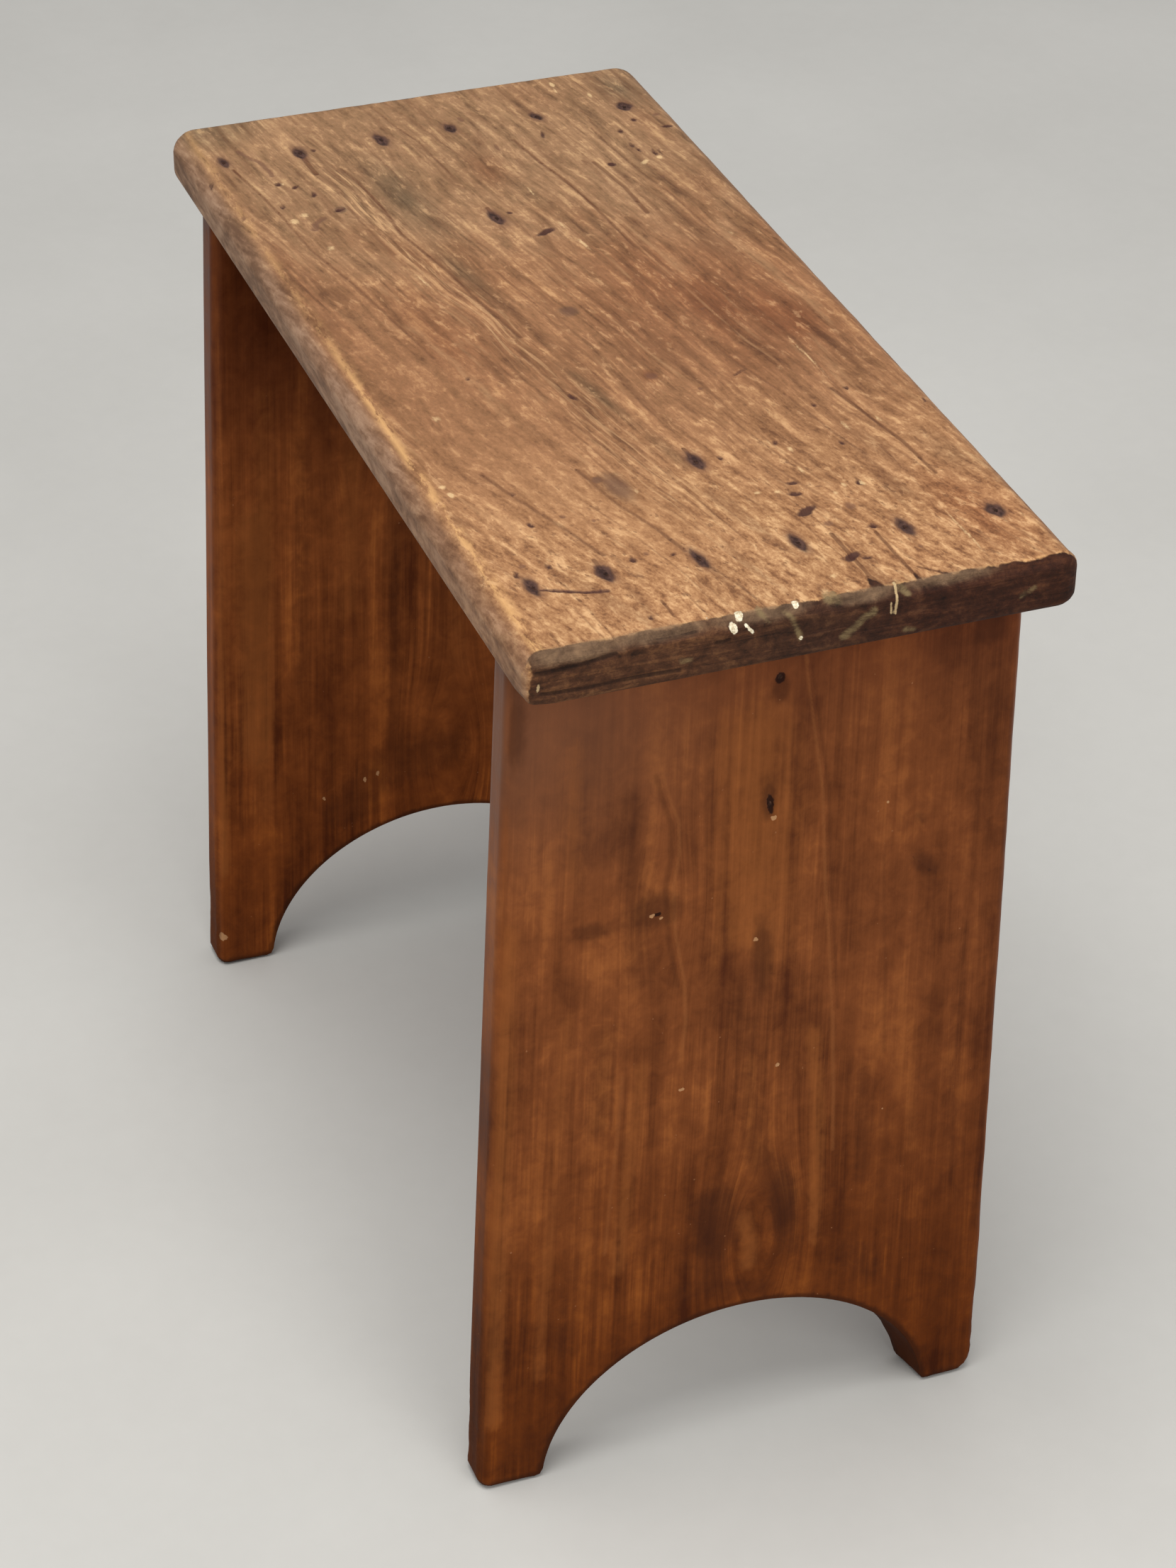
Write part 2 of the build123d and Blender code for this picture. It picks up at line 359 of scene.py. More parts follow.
class Finish:
    """Short calls that build one material's nodes. Their colours are in 0 to 255."""

    def __init__(self, name, roughness, specular):
        self.material = bpy.data.materials.new(name)
        self.material.use_nodes = True
        self.tree = self.material.node_tree
        self.shader = self.tree.nodes["Principled BSDF"]
        self.shader.inputs["Roughness"].default_value = roughness
        self.shader.inputs["Specular IOR Level"].default_value = specular
        place = self.node("ShaderNodeTexCoord").outputs["Object"]
        self.place = self.vector("SCALE", place, scale=1 / MM)
        split = self.node("ShaderNodeSeparateXYZ", {0: self.place})
        self.x, self.y, self.z = split.outputs

    def feed(self, socket, value):
        if isinstance(value, bpy.types.NodeSocket):
            self.tree.links.new(value, socket)
        else:
            socket.default_value = value

    def node(self, kind, inputs=None, **settings):
        made = self.tree.nodes.new(kind)
        for setting, value in settings.items():
            setattr(made, setting, value)
        for socket, value in (inputs or {}).items():
            self.feed(made.inputs[socket], value)
        return made

    def math(self, operation, *values):
        inputs = dict(enumerate(values))
        return self.node("ShaderNodeMath", inputs, operation=operation).outputs[0]

    def times(self, first, second):
        return self.math("MULTIPLY", first, second)

    def add(self, *terms):
        """The sum of (value, weight) pairs."""
        total = 0.0
        for value, weight in terms:
            total = self.math("MULTIPLY_ADD", value, weight, total)
        return total

    def vector(self, operation, first, second=None, scale=None):
        made = self.node("ShaderNodeVectorMath", {0: first}, operation=operation)
        if second is not None:
            self.feed(made.inputs[1], second)
        if scale is not None:
            made.inputs["Scale"].default_value = scale
        return made.outputs[0]

    def join(self, x, y, z):
        return self.node("ShaderNodeCombineXYZ", {0: x, 1: y, 2: z}).outputs[0]

    def noise(self, where, cell, detail=3.0, rough=0.55, swirl=0.0):
        """Noise from 0 to 1 whose bumps are about cell (x, y, z) millimetres apart."""
        scaled = self.vector("MULTIPLY", where, [1 / c for c in cell])
        inputs = {"Vector": scaled, "Scale": 1.0, "Detail": detail}
        inputs.update({"Roughness": rough, "Distortion": swirl})
        return self.node("ShaderNodeTexNoise", inputs).outputs["Fac"]

    def between(self, value, low, high, out_low=0.0, out_high=1.0):
        """The value's place between low and high, held to the two outputs."""
        inputs = {0: value, 1: low, 2: high, 3: out_low, 4: out_high}
        made = self.node("ShaderNodeMapRange", inputs, interpolation_type="SMOOTHSTEP")
        return made.outputs[0]

    def field(self, name):
        return self.node("ShaderNodeAttribute", attribute_name=name).outputs["Fac"]

    def mark(self, name, noise, blur, wobble):
        """How far a point is inside the marks of a field that holds depths in millimetres."""
        depth = self.add((self.field(name), 1.0), (noise, wobble), (1.0, -wobble / 2))
        return self.between(depth, -blur, blur)

    def patch(self, name, noise, weight, low, high):
        """How far a point is inside the marks of a field from 0 to 1, their outlines uneven."""
        return self.between(self.add((self.field(name), 1.0), (noise, weight)), low, high)

    def mix(self, share, first, second, blend="MIX"):
        made = self.node("ShaderNodeMix", data_type="RGBA", blend_type=blend)
        self.feed(made.inputs[0], share)
        self.feed(made.inputs[6], first)
        self.feed(made.inputs[7], second)
        return made.outputs[2]

    def lay(self, base, share, colour, strength=None):
        """The base with a colour, or another base, over it at a share times a strength."""
        share = share if strength is None else self.times(share, strength)
        over = colour if isinstance(colour, bpy.types.NodeSocket) else tone(*colour)
        return self.mix(share, base, over)

    def dye(self, base, share, gains, strength=None):
        """The base with its three channels times their gains, at a share times a strength."""
        share = share if strength is None else self.times(share, strength)
        return self.mix(share, base, (*gains, 1), "MULTIPLY")

    def ramp(self, value, *stops):
        """The colour at a value among stops (value, red, green, blue)."""
        made = self.node("ShaderNodeValToRGB", {0: value})
        while len(made.color_ramp.elements) < len(stops):
            made.color_ramp.elements.new(0.5)
        for element, (place, *colour) in zip(made.color_ramp.elements, stops):
            element.position = place
            element.color = tone(*colour)
        return made.outputs[0]

    def bump(self, height, depth):
        """Relief whose height of 1 stands depth millimetres high."""
        inputs = {"Height": height, "Strength": 1.0, "Distance": depth * MM}
        normal = self.node("ShaderNodeBump", inputs).outputs[0]
        self.tree.links.new(normal, self.shader.inputs["Normal"])

    def paint(self, colour, roughness=None):
        self.tree.links.new(colour, self.shader.inputs["Base Color"])
        if roughness is not None:
            self.tree.links.new(roughness, self.shader.inputs["Roughness"])
        return self.material


def worn_pine():
    """The seat: bare, handled pine with raised grain, dark nails and a blackened end."""
    f = Finish("worn_pine", 0.62, 0.16)
    # The grain climbs across the plank, a little more near the near end, and drifts
    drift = f.noise(f.place, (120, 60, 60), 2)
    past = f.math("MAXIMUM", f.add((f.x, 1.0), (1.0, -100.0)), 0.0)
    across = f.add((f.y, 1.0), (f.x, -GRAIN_SLOPE), (past, -0.06), (drift, 14.0))
    grain = f.join(f.x, across, f.z)
    cloud = f.noise(f.place, (46, 30, 26), 3, 0.55)
    broad = f.noise(grain, (110, 8, 10), 2, 0.6, 0.3)
    streak = f.noise(grain, (30, 2.6, 4), 4, 0.62, 0.3)
    flake = f.noise(grain, (9, 4.0, 4), 4, 0.66, 0.3)
    grit = f.noise(f.place, (2.0, 1.6, 1.6), 3, 0.7)
    # Zones: streaky and greyer at the far end, grainy and lighter at the near one, calm between
    near = f.between(f.add((f.x, 1.0), (cloud, 90.0)), 90, 270)
    far = f.between(f.add((f.x, 1.0), (cloud, 160.0)), 60, -80)
    streaky, grainy, calm = [
        f.add(*zip((broad, streak, flake, grit, 1.0), weights))
        for weights in (
            (0.34, 0.38, 0.3, 0.12, -0.07),
            (0.16, 0.08, 0.56, 0.26, -0.03),
            (0.24, 0.08, 0.32, 0.16, 0.10),
        )
    ]
    value = f.mix(f.field("calm"), f.mix(near, streaky, grainy), calm)
    plain = f.ramp(
        value,
        (0.37, 102, 67, 42), (0.455, 132, 92, 60), (0.53, 149, 104, 70), (0.63, 182, 135, 92),
    )
    pale = f.ramp(
        value,
        (0.38, 116, 76, 47), (0.455, 151, 106, 69), (0.53, 178, 132, 90), (0.63, 212, 168, 120),
    )
    wood = f.dye(f.mix(near, plain, pale), far, (1.08, 1.26, 1.39))
    patchy = f.between(cloud, 0.32, 0.58, 0.6, 1.0)
    wood = f.dye(wood, f.field("red"), (0.72, 0.57, 0.5), patchy)
    wood = f.dye(wood, f.field("grey"), (0.52, 0.6, 0.64), patchy)
    wood = f.dye(wood, f.field("light"), (1.16, 1.22, 1.28), patchy)
    wood = f.dye(wood, f.between(cloud, 0.3, 0.72), (0.84, 0.82, 0.8))
    # Rings of late wood, and a band of close pale ridges that runs with the grain
    ring = f.noise(grain, (330, 22, 30), 1, 0.5, 0.25)
    wave = f.math("PINGPONG", f.times(ring, 16.0), 1.0)
    broken = f.noise(grain, (60, 9, 20), 3, 0.6)
    uncalm = f.between(f.add((broken, 1.0), (f.field("calm"), -0.08)), 0.40, 0.56)
    late = f.times(f.between(wave, 0.62, 0.95), uncalm)
    early = f.times(f.between(wave, 0.4, 0.05), f.between(broken, 0.5, 0.66))
    comb = f.noise(grain, (38, 2.2, 3), 3, 0.55, 0.5)
    band = f.times(f.field("ridge_band"), f.between(broken, 0.36, 0.52))
    ridge = f.times(f.between(comb, 0.51, 0.62), band)
    valley = f.times(f.between(comb, 0.48, 0.37), band)
    # Open pores and flecks, thick at the near end, and long furrows between the ridges
    pore = f.noise(grain, (4.6, 2.5, 2.3), 3, 0.55)
    dent = f.times(f.between(pore, 0.40, 0.30), f.between(near, 0.0, 1.0, 0.3, 0.6))
    fleck = f.times(f.between(flake, 0.57, 0.68), f.between(near, 0.0, 1.0, 0.35, 0.6))
    fleck = f.times(fleck, f.between(f.field("calm"), 0.0, 1.0, 1.0, 0.35))
    furrow = f.patch("furrow", streak, 0.9, 0.72, 1.3)
    wood = f.lay(wood, f.add((ridge, 0.6), (fleck, 0.8), (early, 0.2)), (206, 162, 116))
    sunk = f.add((late, 0.36), (valley, 0.5), (dent, 0.9), (furrow, 0.75))
    wood = f.lay(wood, sunk, (98, 62, 38))
    # The long sides are smoother and greyer, the underside is darker, and the arris is rubbed pale
    # with a painted highlight laid along it as well
    side = f.field("side")
    side_value = f.add((cloud, 0.36), (streak, 0.42), (flake, 0.12), (grit, 0.1))
    side_wood = f.ramp(side_value, (0.42, 104, 75, 56), (0.5, 136, 104, 81), (0.59, 166, 134, 109))
    wood = f.lay(wood, side, f.dye(side_wood, near, (1.0, 0.91, 0.82)), 0.8)
    wood = f.lay(wood, f.field("under"), (112, 82, 58), 0.6)
    # The arris colour is partly real rubbing and partly a painted highlight
    arris = f.times(f.field("arris"), f.between(f.noise(f.place, (22, 6, 6), 5, 0.75), 0.42, 0.54))
    wood = f.lay(wood, arris, (212, 164, 108), 0.75)
    # The ends are black-brown end grain, warmer towards the front, with a worn grey shoulder
    layers = f.noise(f.place, (30, 40, 3.0), 4, 0.65, 0.8)
    dirt = f.noise(f.place, (12, 9, 6), 5, 0.7, 0.5)
    end_value = f.add((layers, 0.3), (dirt, 0.5), (grit, 0.2))
    end_wood = f.ramp(end_value, (0.36, 30, 16, 9), (0.50, 61, 36, 23), (0.66, 97, 64, 41))
    end_wood = f.dye(end_wood, f.between(f.y, 0, 60, 0.0, 0.8), (0.8, 0.6, 0.54))
    end_wood = f.dye(end_wood, f.between(f.y, 20, -50), (1.62, 1.62, 1.42))
    ending = f.mark("end", f.noise(f.place, (12, 8, 7), 4, 0.6), 0.5, 6.0)
    wood = f.lay(wood, ending, end_wood)
    shoulder_wood = f.ramp(end_value, (0.36, 76, 56, 40), (0.64, 132, 106, 80))
    wood = f.lay(wood, f.patch("shoulder", dirt, 1.2, 0.65, 1.65), shoulder_wood, 0.75)
    # Marks: smears, haloes, dark pits, brown slots, pale flecks, spilt paint and splits
    edge_noise = f.noise(f.place, (1.7, 1.1, 1.1), 3, 0.6)
    blot = f.noise(f.place, (4.0, 2.4, 2.4), 4, 0.65)
    smear = f.times(f.mark("smear", dirt, 1.0, 4.0), f.between(dirt, 0.4, 0.6, 0.3, 0.75))
    wood = f.lay(wood, smear, (124, 105, 72))
    wood = f.lay(wood, f.patch("halo", pore, 0.5, 0.45, 1.2), (104, 70, 52), 0.66)
    wood = f.lay(wood, f.mark("slot", blot, 0.7, 2.2), (62, 34, 29), 0.92)
    rusty = f.ramp(blot, (0.4, 46, 27, 22), (0.62, 82, 56, 46))
    wood = f.lay(wood, f.mark("pit", blot, 1.0, 2.6), rusty)
    wood = f.lay(wood, f.patch("wash", edge_noise, 1.0, 0.65, 1.4), (214, 180, 132), 0.72)
    paint = f.mark("paint", edge_noise, 0.15, 0.7)
    spilt = f.ramp(edge_noise, (0.35, 186, 168, 132), (0.6, 236, 224, 196))
    dull = f.math("MAXIMUM", f.between(f.y, 15, 30), f.between(f.y, -70, -90))
    wood = f.lay(wood, paint, f.lay(spilt, dull, (178, 152, 112)))
    wood = f.lay(wood, f.patch("crack", dirt, 0.9, 0.75, 1.15), (26, 15, 11), 0.6)
    height = f.add(
        (broad, 0.2), (streak, 0.35), (grit, 0.3), (flake, 0.6), (ridge, 0.5), (sunk, -0.55),
        (fleck, 0.2), (f.times(ending, layers), 1.4), (edge_noise, 0.08), (paint, 0.3),
    )
    f.bump(f.times(height, f.add((side, -0.5), (1.0, 1.0))), 0.5)
    gloss = f.add((grit, 0.2), (cloud, 0.12), (arris, -0.1), (ending, 0.14), (paint, -0.2))
    return f.paint(wood, f.math("ADD", gloss, 0.46))


def stained_board(name, upper, shade_from, low_share, gains):
    """An end board: softwood under old red-brown stain, darker and redder towards the floor."""
    f = Finish(name, 0.42, 0.06)
    grain = f.join(f.x, f.field("fan"), f.z)
    broad = f.noise(grain, (30, 17, 240), 2, 0.5)
    streak = f.noise(grain, (9, 3.6, 150), 4, 0.62, 0.3)
    fine = f.noise(grain, (3, 1.0, 60), 3, 0.65, 0.2)
    mottle = f.noise(f.place, (8, 8, 9), 4, 0.65, 0.4)
    cloud = f.noise(f.place, (60, 40, 55), 3, 0.6)
    patchy = f.between(f.noise(f.place, (50, 34, 90), 3, 0.6), 0.38, 0.62, 0.25, 1.0)
    ribs = f.times(f.add((streak, 1.0), (1.0, -0.5)), patchy)
    ribs = f.times(ribs, f.between(f.z, 260, 80, 0.9, 1.4))
    value = f.add(
        (broad, 0.27), (ribs, 0.36), (fine, 0.07), (mottle, 0.19), (cloud, 0.25), (1.0, 0.11)
    )
    wood = f.ramp(
        value, (0.38, 79, 38, 17), (0.46, 106, 57, 27), (0.53, 126, 70, 35), (0.63, 160, 95, 48)
    )
    # Zones: painted shade over the upper part below the seat, the back, a painted sheen high up at
    # the front, more painted shade just below the seat, feet
    wood = f.dye(wood, 1.0, gains)
    # Painted shade under the seat: the upper part turns towards a darker colour over 100 mm from
    # where it starts
    wood = f.lay(wood, f.between(f.z, shade_from, shade_from + 100), upper, 0.5)
    wood = f.dye(wood, f.between(f.y, -10, 110, 0.0, 0.7), (0.82, 0.78, 0.76))
    # Painted sheen: a pale, greyish patch high up at the front of the near board's outer face
    outer = f.times(f.between(f.x, 0, 100), f.between(f.y, 10, -100))
    wood = f.lay(wood, f.times(outer, f.between(f.z, 280, 420, 0.0, 0.55)), (128, 86, 62))
    # Painted shade under the seat, broken up by the grain, strongest towards the back
    uneven = f.between(f.add((f.y, 1.0), (streak, 120.0)), 60, 140, 0.25, 1.0)
    wood = f.dye(wood, f.times(f.between(f.z, 375, 425), uneven), (0.64, 0.5, 0.46), 0.8)
    # Painted shadow in a narrow band right below the seat
    wood = f.dye(wood, f.between(f.z, 408, 426, 0.0, 0.5), (0.72, 0.66, 0.66))
    low = f.between(f.add((f.z, 1.0), (cloud, 90.0)), 320, 70)
    wood = f.dye(wood, low, (0.6, 0.45, 0.14), low_share)
    # Broad streaks, then lines of grain: paler where their field is above 0, darker below it
    tint = f.add((f.field("tint"), 1.0), (streak, 0.7), (mottle, 0.5), (0.5, -1.2))
    for sign, colour, strength in ((1, (150, 88, 42), 0.42), (-1, (60, 28, 12), 0.38)):
        within = f.between(f.field("tint"), 0.0, sign * 0.25)
        share = f.times(f.between(tint, sign * 0.1, sign * 0.9), within)
        wood = f.lay(wood, share, colour, strength)
    for sign, colour, strength in ((1, (156, 96, 52), 0.32), (-1, (60, 28, 12), 0.35)):
        share = f.between(f.field("line"), sign * 0.1, sign * 0.9)
        wood = f.lay(wood, share, colour, strength)
    # Wear and marks: rubbed edges, stains, specks, pits, chips, dark sawn faces and painted shade
    # on the sides low down
    rub = f.times(f.field("rub"), f.between(f.noise(f.place, (14, 14, 30), 3), 0.34, 0.62))
    wood = f.lay(wood, rub, (136, 74, 32), 0.34)
    edge_noise = f.noise(f.place, (1.4, 1.4, 1.8), 3, 0.6)
    soft_noise = f.noise(f.place, (6, 6, 9), 3, 0.6)
    wood = f.lay(wood, f.patch("stain", soft_noise, 0.8, 0.45, 1.2), (52, 24, 12), 0.5)
    speck = f.between(f.noise(f.place, (2.4, 2.4, 2.4), 1), 0.79, 0.82)
    wood = f.lay(wood, speck, (170, 118, 80), 0.4)
    pit = f.patch("pit", edge_noise, 0.45, 0.34, 0.58)
    wood = f.lay(wood, pit, (34, 16, 12), 0.9)
    wood = f.lay(wood, f.patch("chip", edge_noise, 0.6, 0.6, 0.75), (182, 137, 96), 0.85)
    # Dark sawn faces, together with painted shade on the board's sides low down
    cut = f.patch("cut", edge_noise, 0.2, 0.3, 0.8)
    wood = f.lay(wood, cut, (50, 24, 12), 0.72)
    relief = ((broad, 0.4), (streak, 0.4), (fine, 0.25), (mottle, 0.5), (speck, 0.2))
    f.bump(f.add(*relief, (f.field("line"), 0.3)), 0.26)
    gloss = f.add(
        (mottle, 0.24), (cloud, 0.16), (fine, 0.1), (cut, 0.2), (pit, 0.25),
        (f.between(f.z, 420, 120), 0.22),
    )
    return f.paint(wood, f.math("ADD", gloss, 0.1))


def rail_wood():
    """The rail: the same stain over rougher sawn faces."""
    f = Finish("rail_wood", 0.6, 0.35)
    streak = f.noise(f.place, (120, 4, 5), 3, 0.6, 0.3)
    fine = f.noise(f.place, (30, 1.2, 1.4), 3, 0.6)
    cloud = f.noise(f.place, (60, 40, 40), 3, 0.5)
    saw = f.noise(f.place, (1.6, 30, 30), 2, 0.5)
    value = f.add((streak, 0.5), (fine, 0.25), (cloud, 0.25))
    wood = f.ramp(value, (0.34, 70, 36, 22), (0.50, 104, 58, 36), (0.66, 140, 86, 54))
    wood = f.lay(wood, f.between(saw, 0.4, 0.7, 0.0, 0.25), (74, 42, 26))
    f.bump(f.add((streak, 0.4), (fine, 0.25), (saw, 0.4)), 0.3)
    return f.paint(wood, f.add((fine, 0.2), (cloud, 0.1), (saw, 0.1), (1.0, 0.4)))


def nail_iron():
    """Old iron, black with brown rust."""
    f = Finish("nail_iron", 0.8, 0.04)
    rust = f.noise(f.place, (2.2, 2.2, 2.2), 4, 0.65)
    scale = f.noise(f.place, (0.6, 0.6, 0.6), 3, 0.6)
    value = f.add((rust, 0.7), (scale, 0.3))
    iron = f.ramp(value, (0.40, 34, 22, 18), (0.55, 58, 38, 30), (0.68, 92, 64, 50))
    f.bump(f.add((rust, 0.6), (scale, 0.4)), 0.25)
    return f.paint(iron, f.add((rust, 0.3), (scale, 0.1), (1.0, 0.4)))


# The seat

# Dark pits over the nails: (x, y, length, width, degrees)
SEAT_PITS = (
    (-204, 100.8, 11, 8.4, 0), (-206.6, 57.6, 12, 6.4, 5), (-208.2, 14.4, 12, 6.8, 8),
    (-207, -19.9, 17, 6.8, 5), (-205.8, -60, 16, 7, 0), (-207.6, -96.3, 14, 5.8, 3),
    (207.6, 103.7, 13, 8.4, 5), (207.8, 64.4, 17, 6.4, 2), (205.2, 19.8, 19, 6.2, 5),
    (203.4, -21.6, 19, 6.4, 5), (201.3, -60, 16, 7.6, 5), (201.8, -90.2, 18, 6.2, 6),
    (-109.5, 3.7, 19, 6.4, 6), (130.3, 5.8, 18, 7.8, 4),
)
# Smaller pits and slots away from the nails, with their depths
SEAT_SLOTS = (
    (-141, -60.6, 6, 3.2, 105, 0.8), (-88.7, 19.7, 12.5, 4.8, 117, 1.1),
    (183, 32.3, 12.5, 5, 117, 0.9), (222.4, 35.3, 11, 5.4, 115, 0.9),
    (160.9, 35.7, 6.4, 4.2, 75, 0.8), (168.4, 33.5, 7, 4.4, 80, 0.8),
    (193.2, -39.7, 4.4, 3.4, 0, 0.5), (195.6, -46.2, 5.4, 3.6, 0, 0.9),
    (196.8, -29.3, 3, 2.6, 0, 0.6), (160.9, -49.7, 3.6, 3, 0, 0.4), (238.3, -54.7, 3.6, 3, 0, 0.7),
    (156.6, -74.5, 4.6, 2.6, 0, 0.6), (131, -73.5, 4, 2, 0, 0.6), (189.5, -78.7, 4.6, 2.6, 0, 0.6),
    (203, -75, 3.6, 2, 0, 0.5), (191.3, -93, 6, 2.8, 0, 0.9), (185.9, -88.5, 6, 4.6, 0, 0.45),
    (189.5, -105.3, 4.6, 3, 0, 0.7), (154, -60.4, 5, 3.6, 20, 0.5), (55.4, 15, 10, 8, 0, 0.35),
    (62.7, -22.6, 7, 2.8, 12, 0.7), (195.6, 37, 6, 6.4, 0, 0.45), (184.6, 50.5, 9, 5.6, 0, 0.45),
    (168.8, 61.5, 5.6, 3.6, 10, 0.7), (203, 52.6, 4.2, 3.4, 0, 0.8), (225, 41, 4.6, 2.8, 90, 0.7),
    (223, 64.6, 4, 2.4, 20, 0.5), (132.2, 16, 4.4, 2.6, 0, 0.7), (128, 41.8, 3.8, 2.6, 0, 0.6),
    (144.4, 41, 3, 2.6, 0, 0.5), (73, 31, 3.6, 2.8, 0, 0.5), (136.5, 68, 5.4, 2.8, -10, 0.7),
    (102.3, 69.8, 3.8, 2.4, 0, 0.6), (93.2, 88, 3.4, 2.4, 0, 0.7), (65.8, 51, 6.5, 2, 118, 0.6),
    (112.7, 116.2, 4.6, 3, 0, 0.8), (118, 114.4, 2.8, 2.6, 0, 0.7), (98, 114, 3.4, 2.6, 0, 0.5),
    (-175.9, 112.5, 7, 4.2, 80, 1), (-189.9, 112, 6, 4.4, 90, 0.5), (-150.9, 96, 10, 2.4, 2, 0.9),
    (-149.7, 99, 8, 1.8, 0, 0.8), (-155.2, 90, 6, 2.4, 5, 0.9), (-161, 88.6, 7, 2.4, 5, 0.6),
    (-178.3, 89.3, 6, 2.6, 0, 0.6), (-187.5, 99.6, 5.2, 3.2, 0, 0.6),
    (-125.3, 90.2, 4.4, 4.2, 60, 0.5), (-144.8, 72.7, 5.4, 4.4, 0, 0.7),
    (-186.3, 53.6, 10, 2.6, -15, 0.55), (-113, 11, 3.4, 3, 0, 0.6),
    (-180.8, 28.6, 12, 2.8, 2, 0.45), (-216, 22.5, 8, 3.4, 10, 0.45),
    (-206.4, -53, 4.2, 3, 0, 0.6), (-160.6, -67.7, 7, 3, -8, 0.6),
    (-171, -72.6, 5.4, 3.2, -45, 0.7), (-175.9, -79.3, 5.2, 3.6, 0, 0.9),
    (-152.5, -84, 7, 2.6, -3, 0.8), (-189.3, -108, 5.6, 3, 0, 0.8),
    (-147.8, -104.3, 7, 2.8, -8, 0.5), (5, 58.5, 4, 2.6, -20, 0.5),
    (32.5, -58.5, 3.8, 2.6, 0, 0.6),
)
# Scratches: (stroke, width, depth)
SEAT_SCRATCHES = (
    (((204.8, -87.3), (208, -81.5), (211.5, -72.5), (214.5, -63.5)), 1.9, 0.6),
    (((-136, -70), (-131.5, -74.5), (-126, -77.5)), 2.4, 0.5),
    (((-216, -86.5), (-212, -85.4), (-203, -80.7), (-186, -79.3)), 1.7, 0.4),
)
# Long dark furrows along the grain: (stroke, width, strength)
SEAT_FURROWS = (
    (((57, 104), (107, 111), (136, 115)), 1.8, 0.5),
    (((91, 82.3), (116, 87), (143, 92), (172, 94)), 1.7, 1),
    (((38, 50.5), (58, 54), (87, 61.5), (131, 69), (148, 74)), 1.8, 0.7),
    (((-30, 66), (20, 71), (60, 76), (91, 82)), 1.8, 0.6),
    (((82, 31), (107, 33.5), (131, 38.4), (148, 42)), 1.6, 0.7),
    (((207, 51.8), (228, 52.4), (246, 53)), 1.2, 1.3),
    (((203, 34.7), (219, 35.3), (236, 35.9), (248, 38)), 1.3, 1.4),
    (((238, 35.6), (248, 34.4)), 1.6, 1.2),
    (((121, -42), (154, -36), (176, -28.7), (196, -24.5)), 2.2, 0.9),
    (((211, -19), (228, -14), (246, -10.5)), 1.7, 0.8),
    (((111, -80), (136, -72.6), (155, -66), (188, -55.5)), 2.6, 0.8),
    (((38, -63), (75, -58), (116, -44.6)), 2.2, 0.5), (((228, -46.8), (241, -46.2)), 1.2, 1),
    (((236, -95), (246, -94.6)), 1.2, 0.9), (((238, 56.5), (246, 65)), 1.3, 1.1),
    (((142, 82), (188, 83.8), (246, 86)), 1.4, 0.6),
    (((-150, 65.6), (-120, 69.5), (-92, 70)), 2, 1.1),
    (((-186, 77.4), (-166, 78.6), (-130, 83), (-108, 87), (-69, 90.8), (-28, 96.3)), 1.6, 0.8),
    (((-186, 38.4), (-159, 42), (-137, 46.3), (-117, 48.7), (-61, 52.4)), 1.8, 0.9),
    (((-244, -13), (-219, -9.2), (-200, -4.3), (-142, 0.5)), 2, 0.7),
    (((-183, -47), (-166, -44), (-142, -42), (-108, -42), (-69, -34.8), (-28, -30),
     (4, -25)), 2, 0.9),
    (((-198, -94.6), (-166, -89.7), (-142, -87.3), (-105, -84.8), (-69, -77.5), (-28, -71.4),
     (10, -66)), 2, 0.8), (((-201, -60.1), (-192, -60), (-181, -59.6)), 1.8, 1.6),
    (((190, -60.6), (197, -60.4)), 1.3, 1.6), (((-121, 3), (-114, 3.4)), 1.4, 1.6),
    (((119, 5), (125, 5.4)), 1.6, 1.4), (((-100, 30), (-60, 35), (0, 42), (40, 44)), 1.8, 0.5),
    (((-240, 62), (-200, 66), (-170, 69), (-150, 66)), 1.6, 0.5),
    (((-30, 4), (20, 14), (60, 17)), 1.6, 0.4),
)
# Broad tints, haloes and calm places: (x, y, length, width, degrees, strength)
SEAT_TINTS = {
    "red": (
        (20, 88, 90, 48, 4, 1.6), (5, 62, 190, 120, 8, 1), (-157, 17, 66, 26, 4, 0.9),
        (55.4, 15, 14, 11, 0, 1.2), (-228, 62, 60, 34, 0, 0.5), (0, -55, 130, 40, 8, 0.6),
        (-120, -100, 260, 22, 3, 0.7), (205, 98, 110, 46, 4, 1.1), (-185, 105, 90, 26, 0, 0.5),
    ),
    "grey": (
        (-140, -29, 120, 30, 3, 1), (-62, -28, 96, 16, 8, 0.9), (65, -12, 84, 10, 10, 1),
        (118, -2, 44, 10, 10, 0.8), (-224, 106, 66, 28, 0, 1.1), (139.5, -31.8, 32, 14, 6, 1.1),
        (-11.5, 2.5, 12, 11, 0, 2.2), (131.8, -37.5, 6, 5, 0, 2.4), (-141, -60.4, 8, 7.4, 0, 3),
        (130, -31, 5, 12, 0, 1), (160, 104, 60, 20, 6, 0.5), (-250, -104, 70, 100, 0, 1.2),
        (-250, 118, 130, 60, 0, 0.7),
    ),
    "light": (
        (218, -2, 90, 60, 6, 0.7), (206, -76, 90, 50, 0, 0.4), (-68.6, 98, 26, 12, 0, 1.2),
        (-234, -22, 40, 44, 0, 0.3), (-203, 28, 34, 14, 0, 0.9), (-120, 62, 120, 18, 8, 0.5),
        (170, 80, 70, 14, 5, 0.8), (-95, 2, 120, 24, 6, 0.5), (132, -54, 90, 24, 10, 0.4),
    ),
    "halo": (
        (-11.5, 2.5, 13, 11, 0, 1.7), (139.5, -31.8, 36, 16, 6, 1.3), (131.8, -37.5, 7, 6, 0, 2),
        (-141, -60.4, 8, 7, 0, 2),
    ),
    "calm": (
        (212, -92, 90, 38, 0, 0.8), (60, -74, 270, 74, 8, 2), (170, -30, 130, 60, 10, 1.2),
        (30, 60, 120, 80, 6, 0.6), (-235, 0, 40, 160, 0, 0.9),
    ),
}
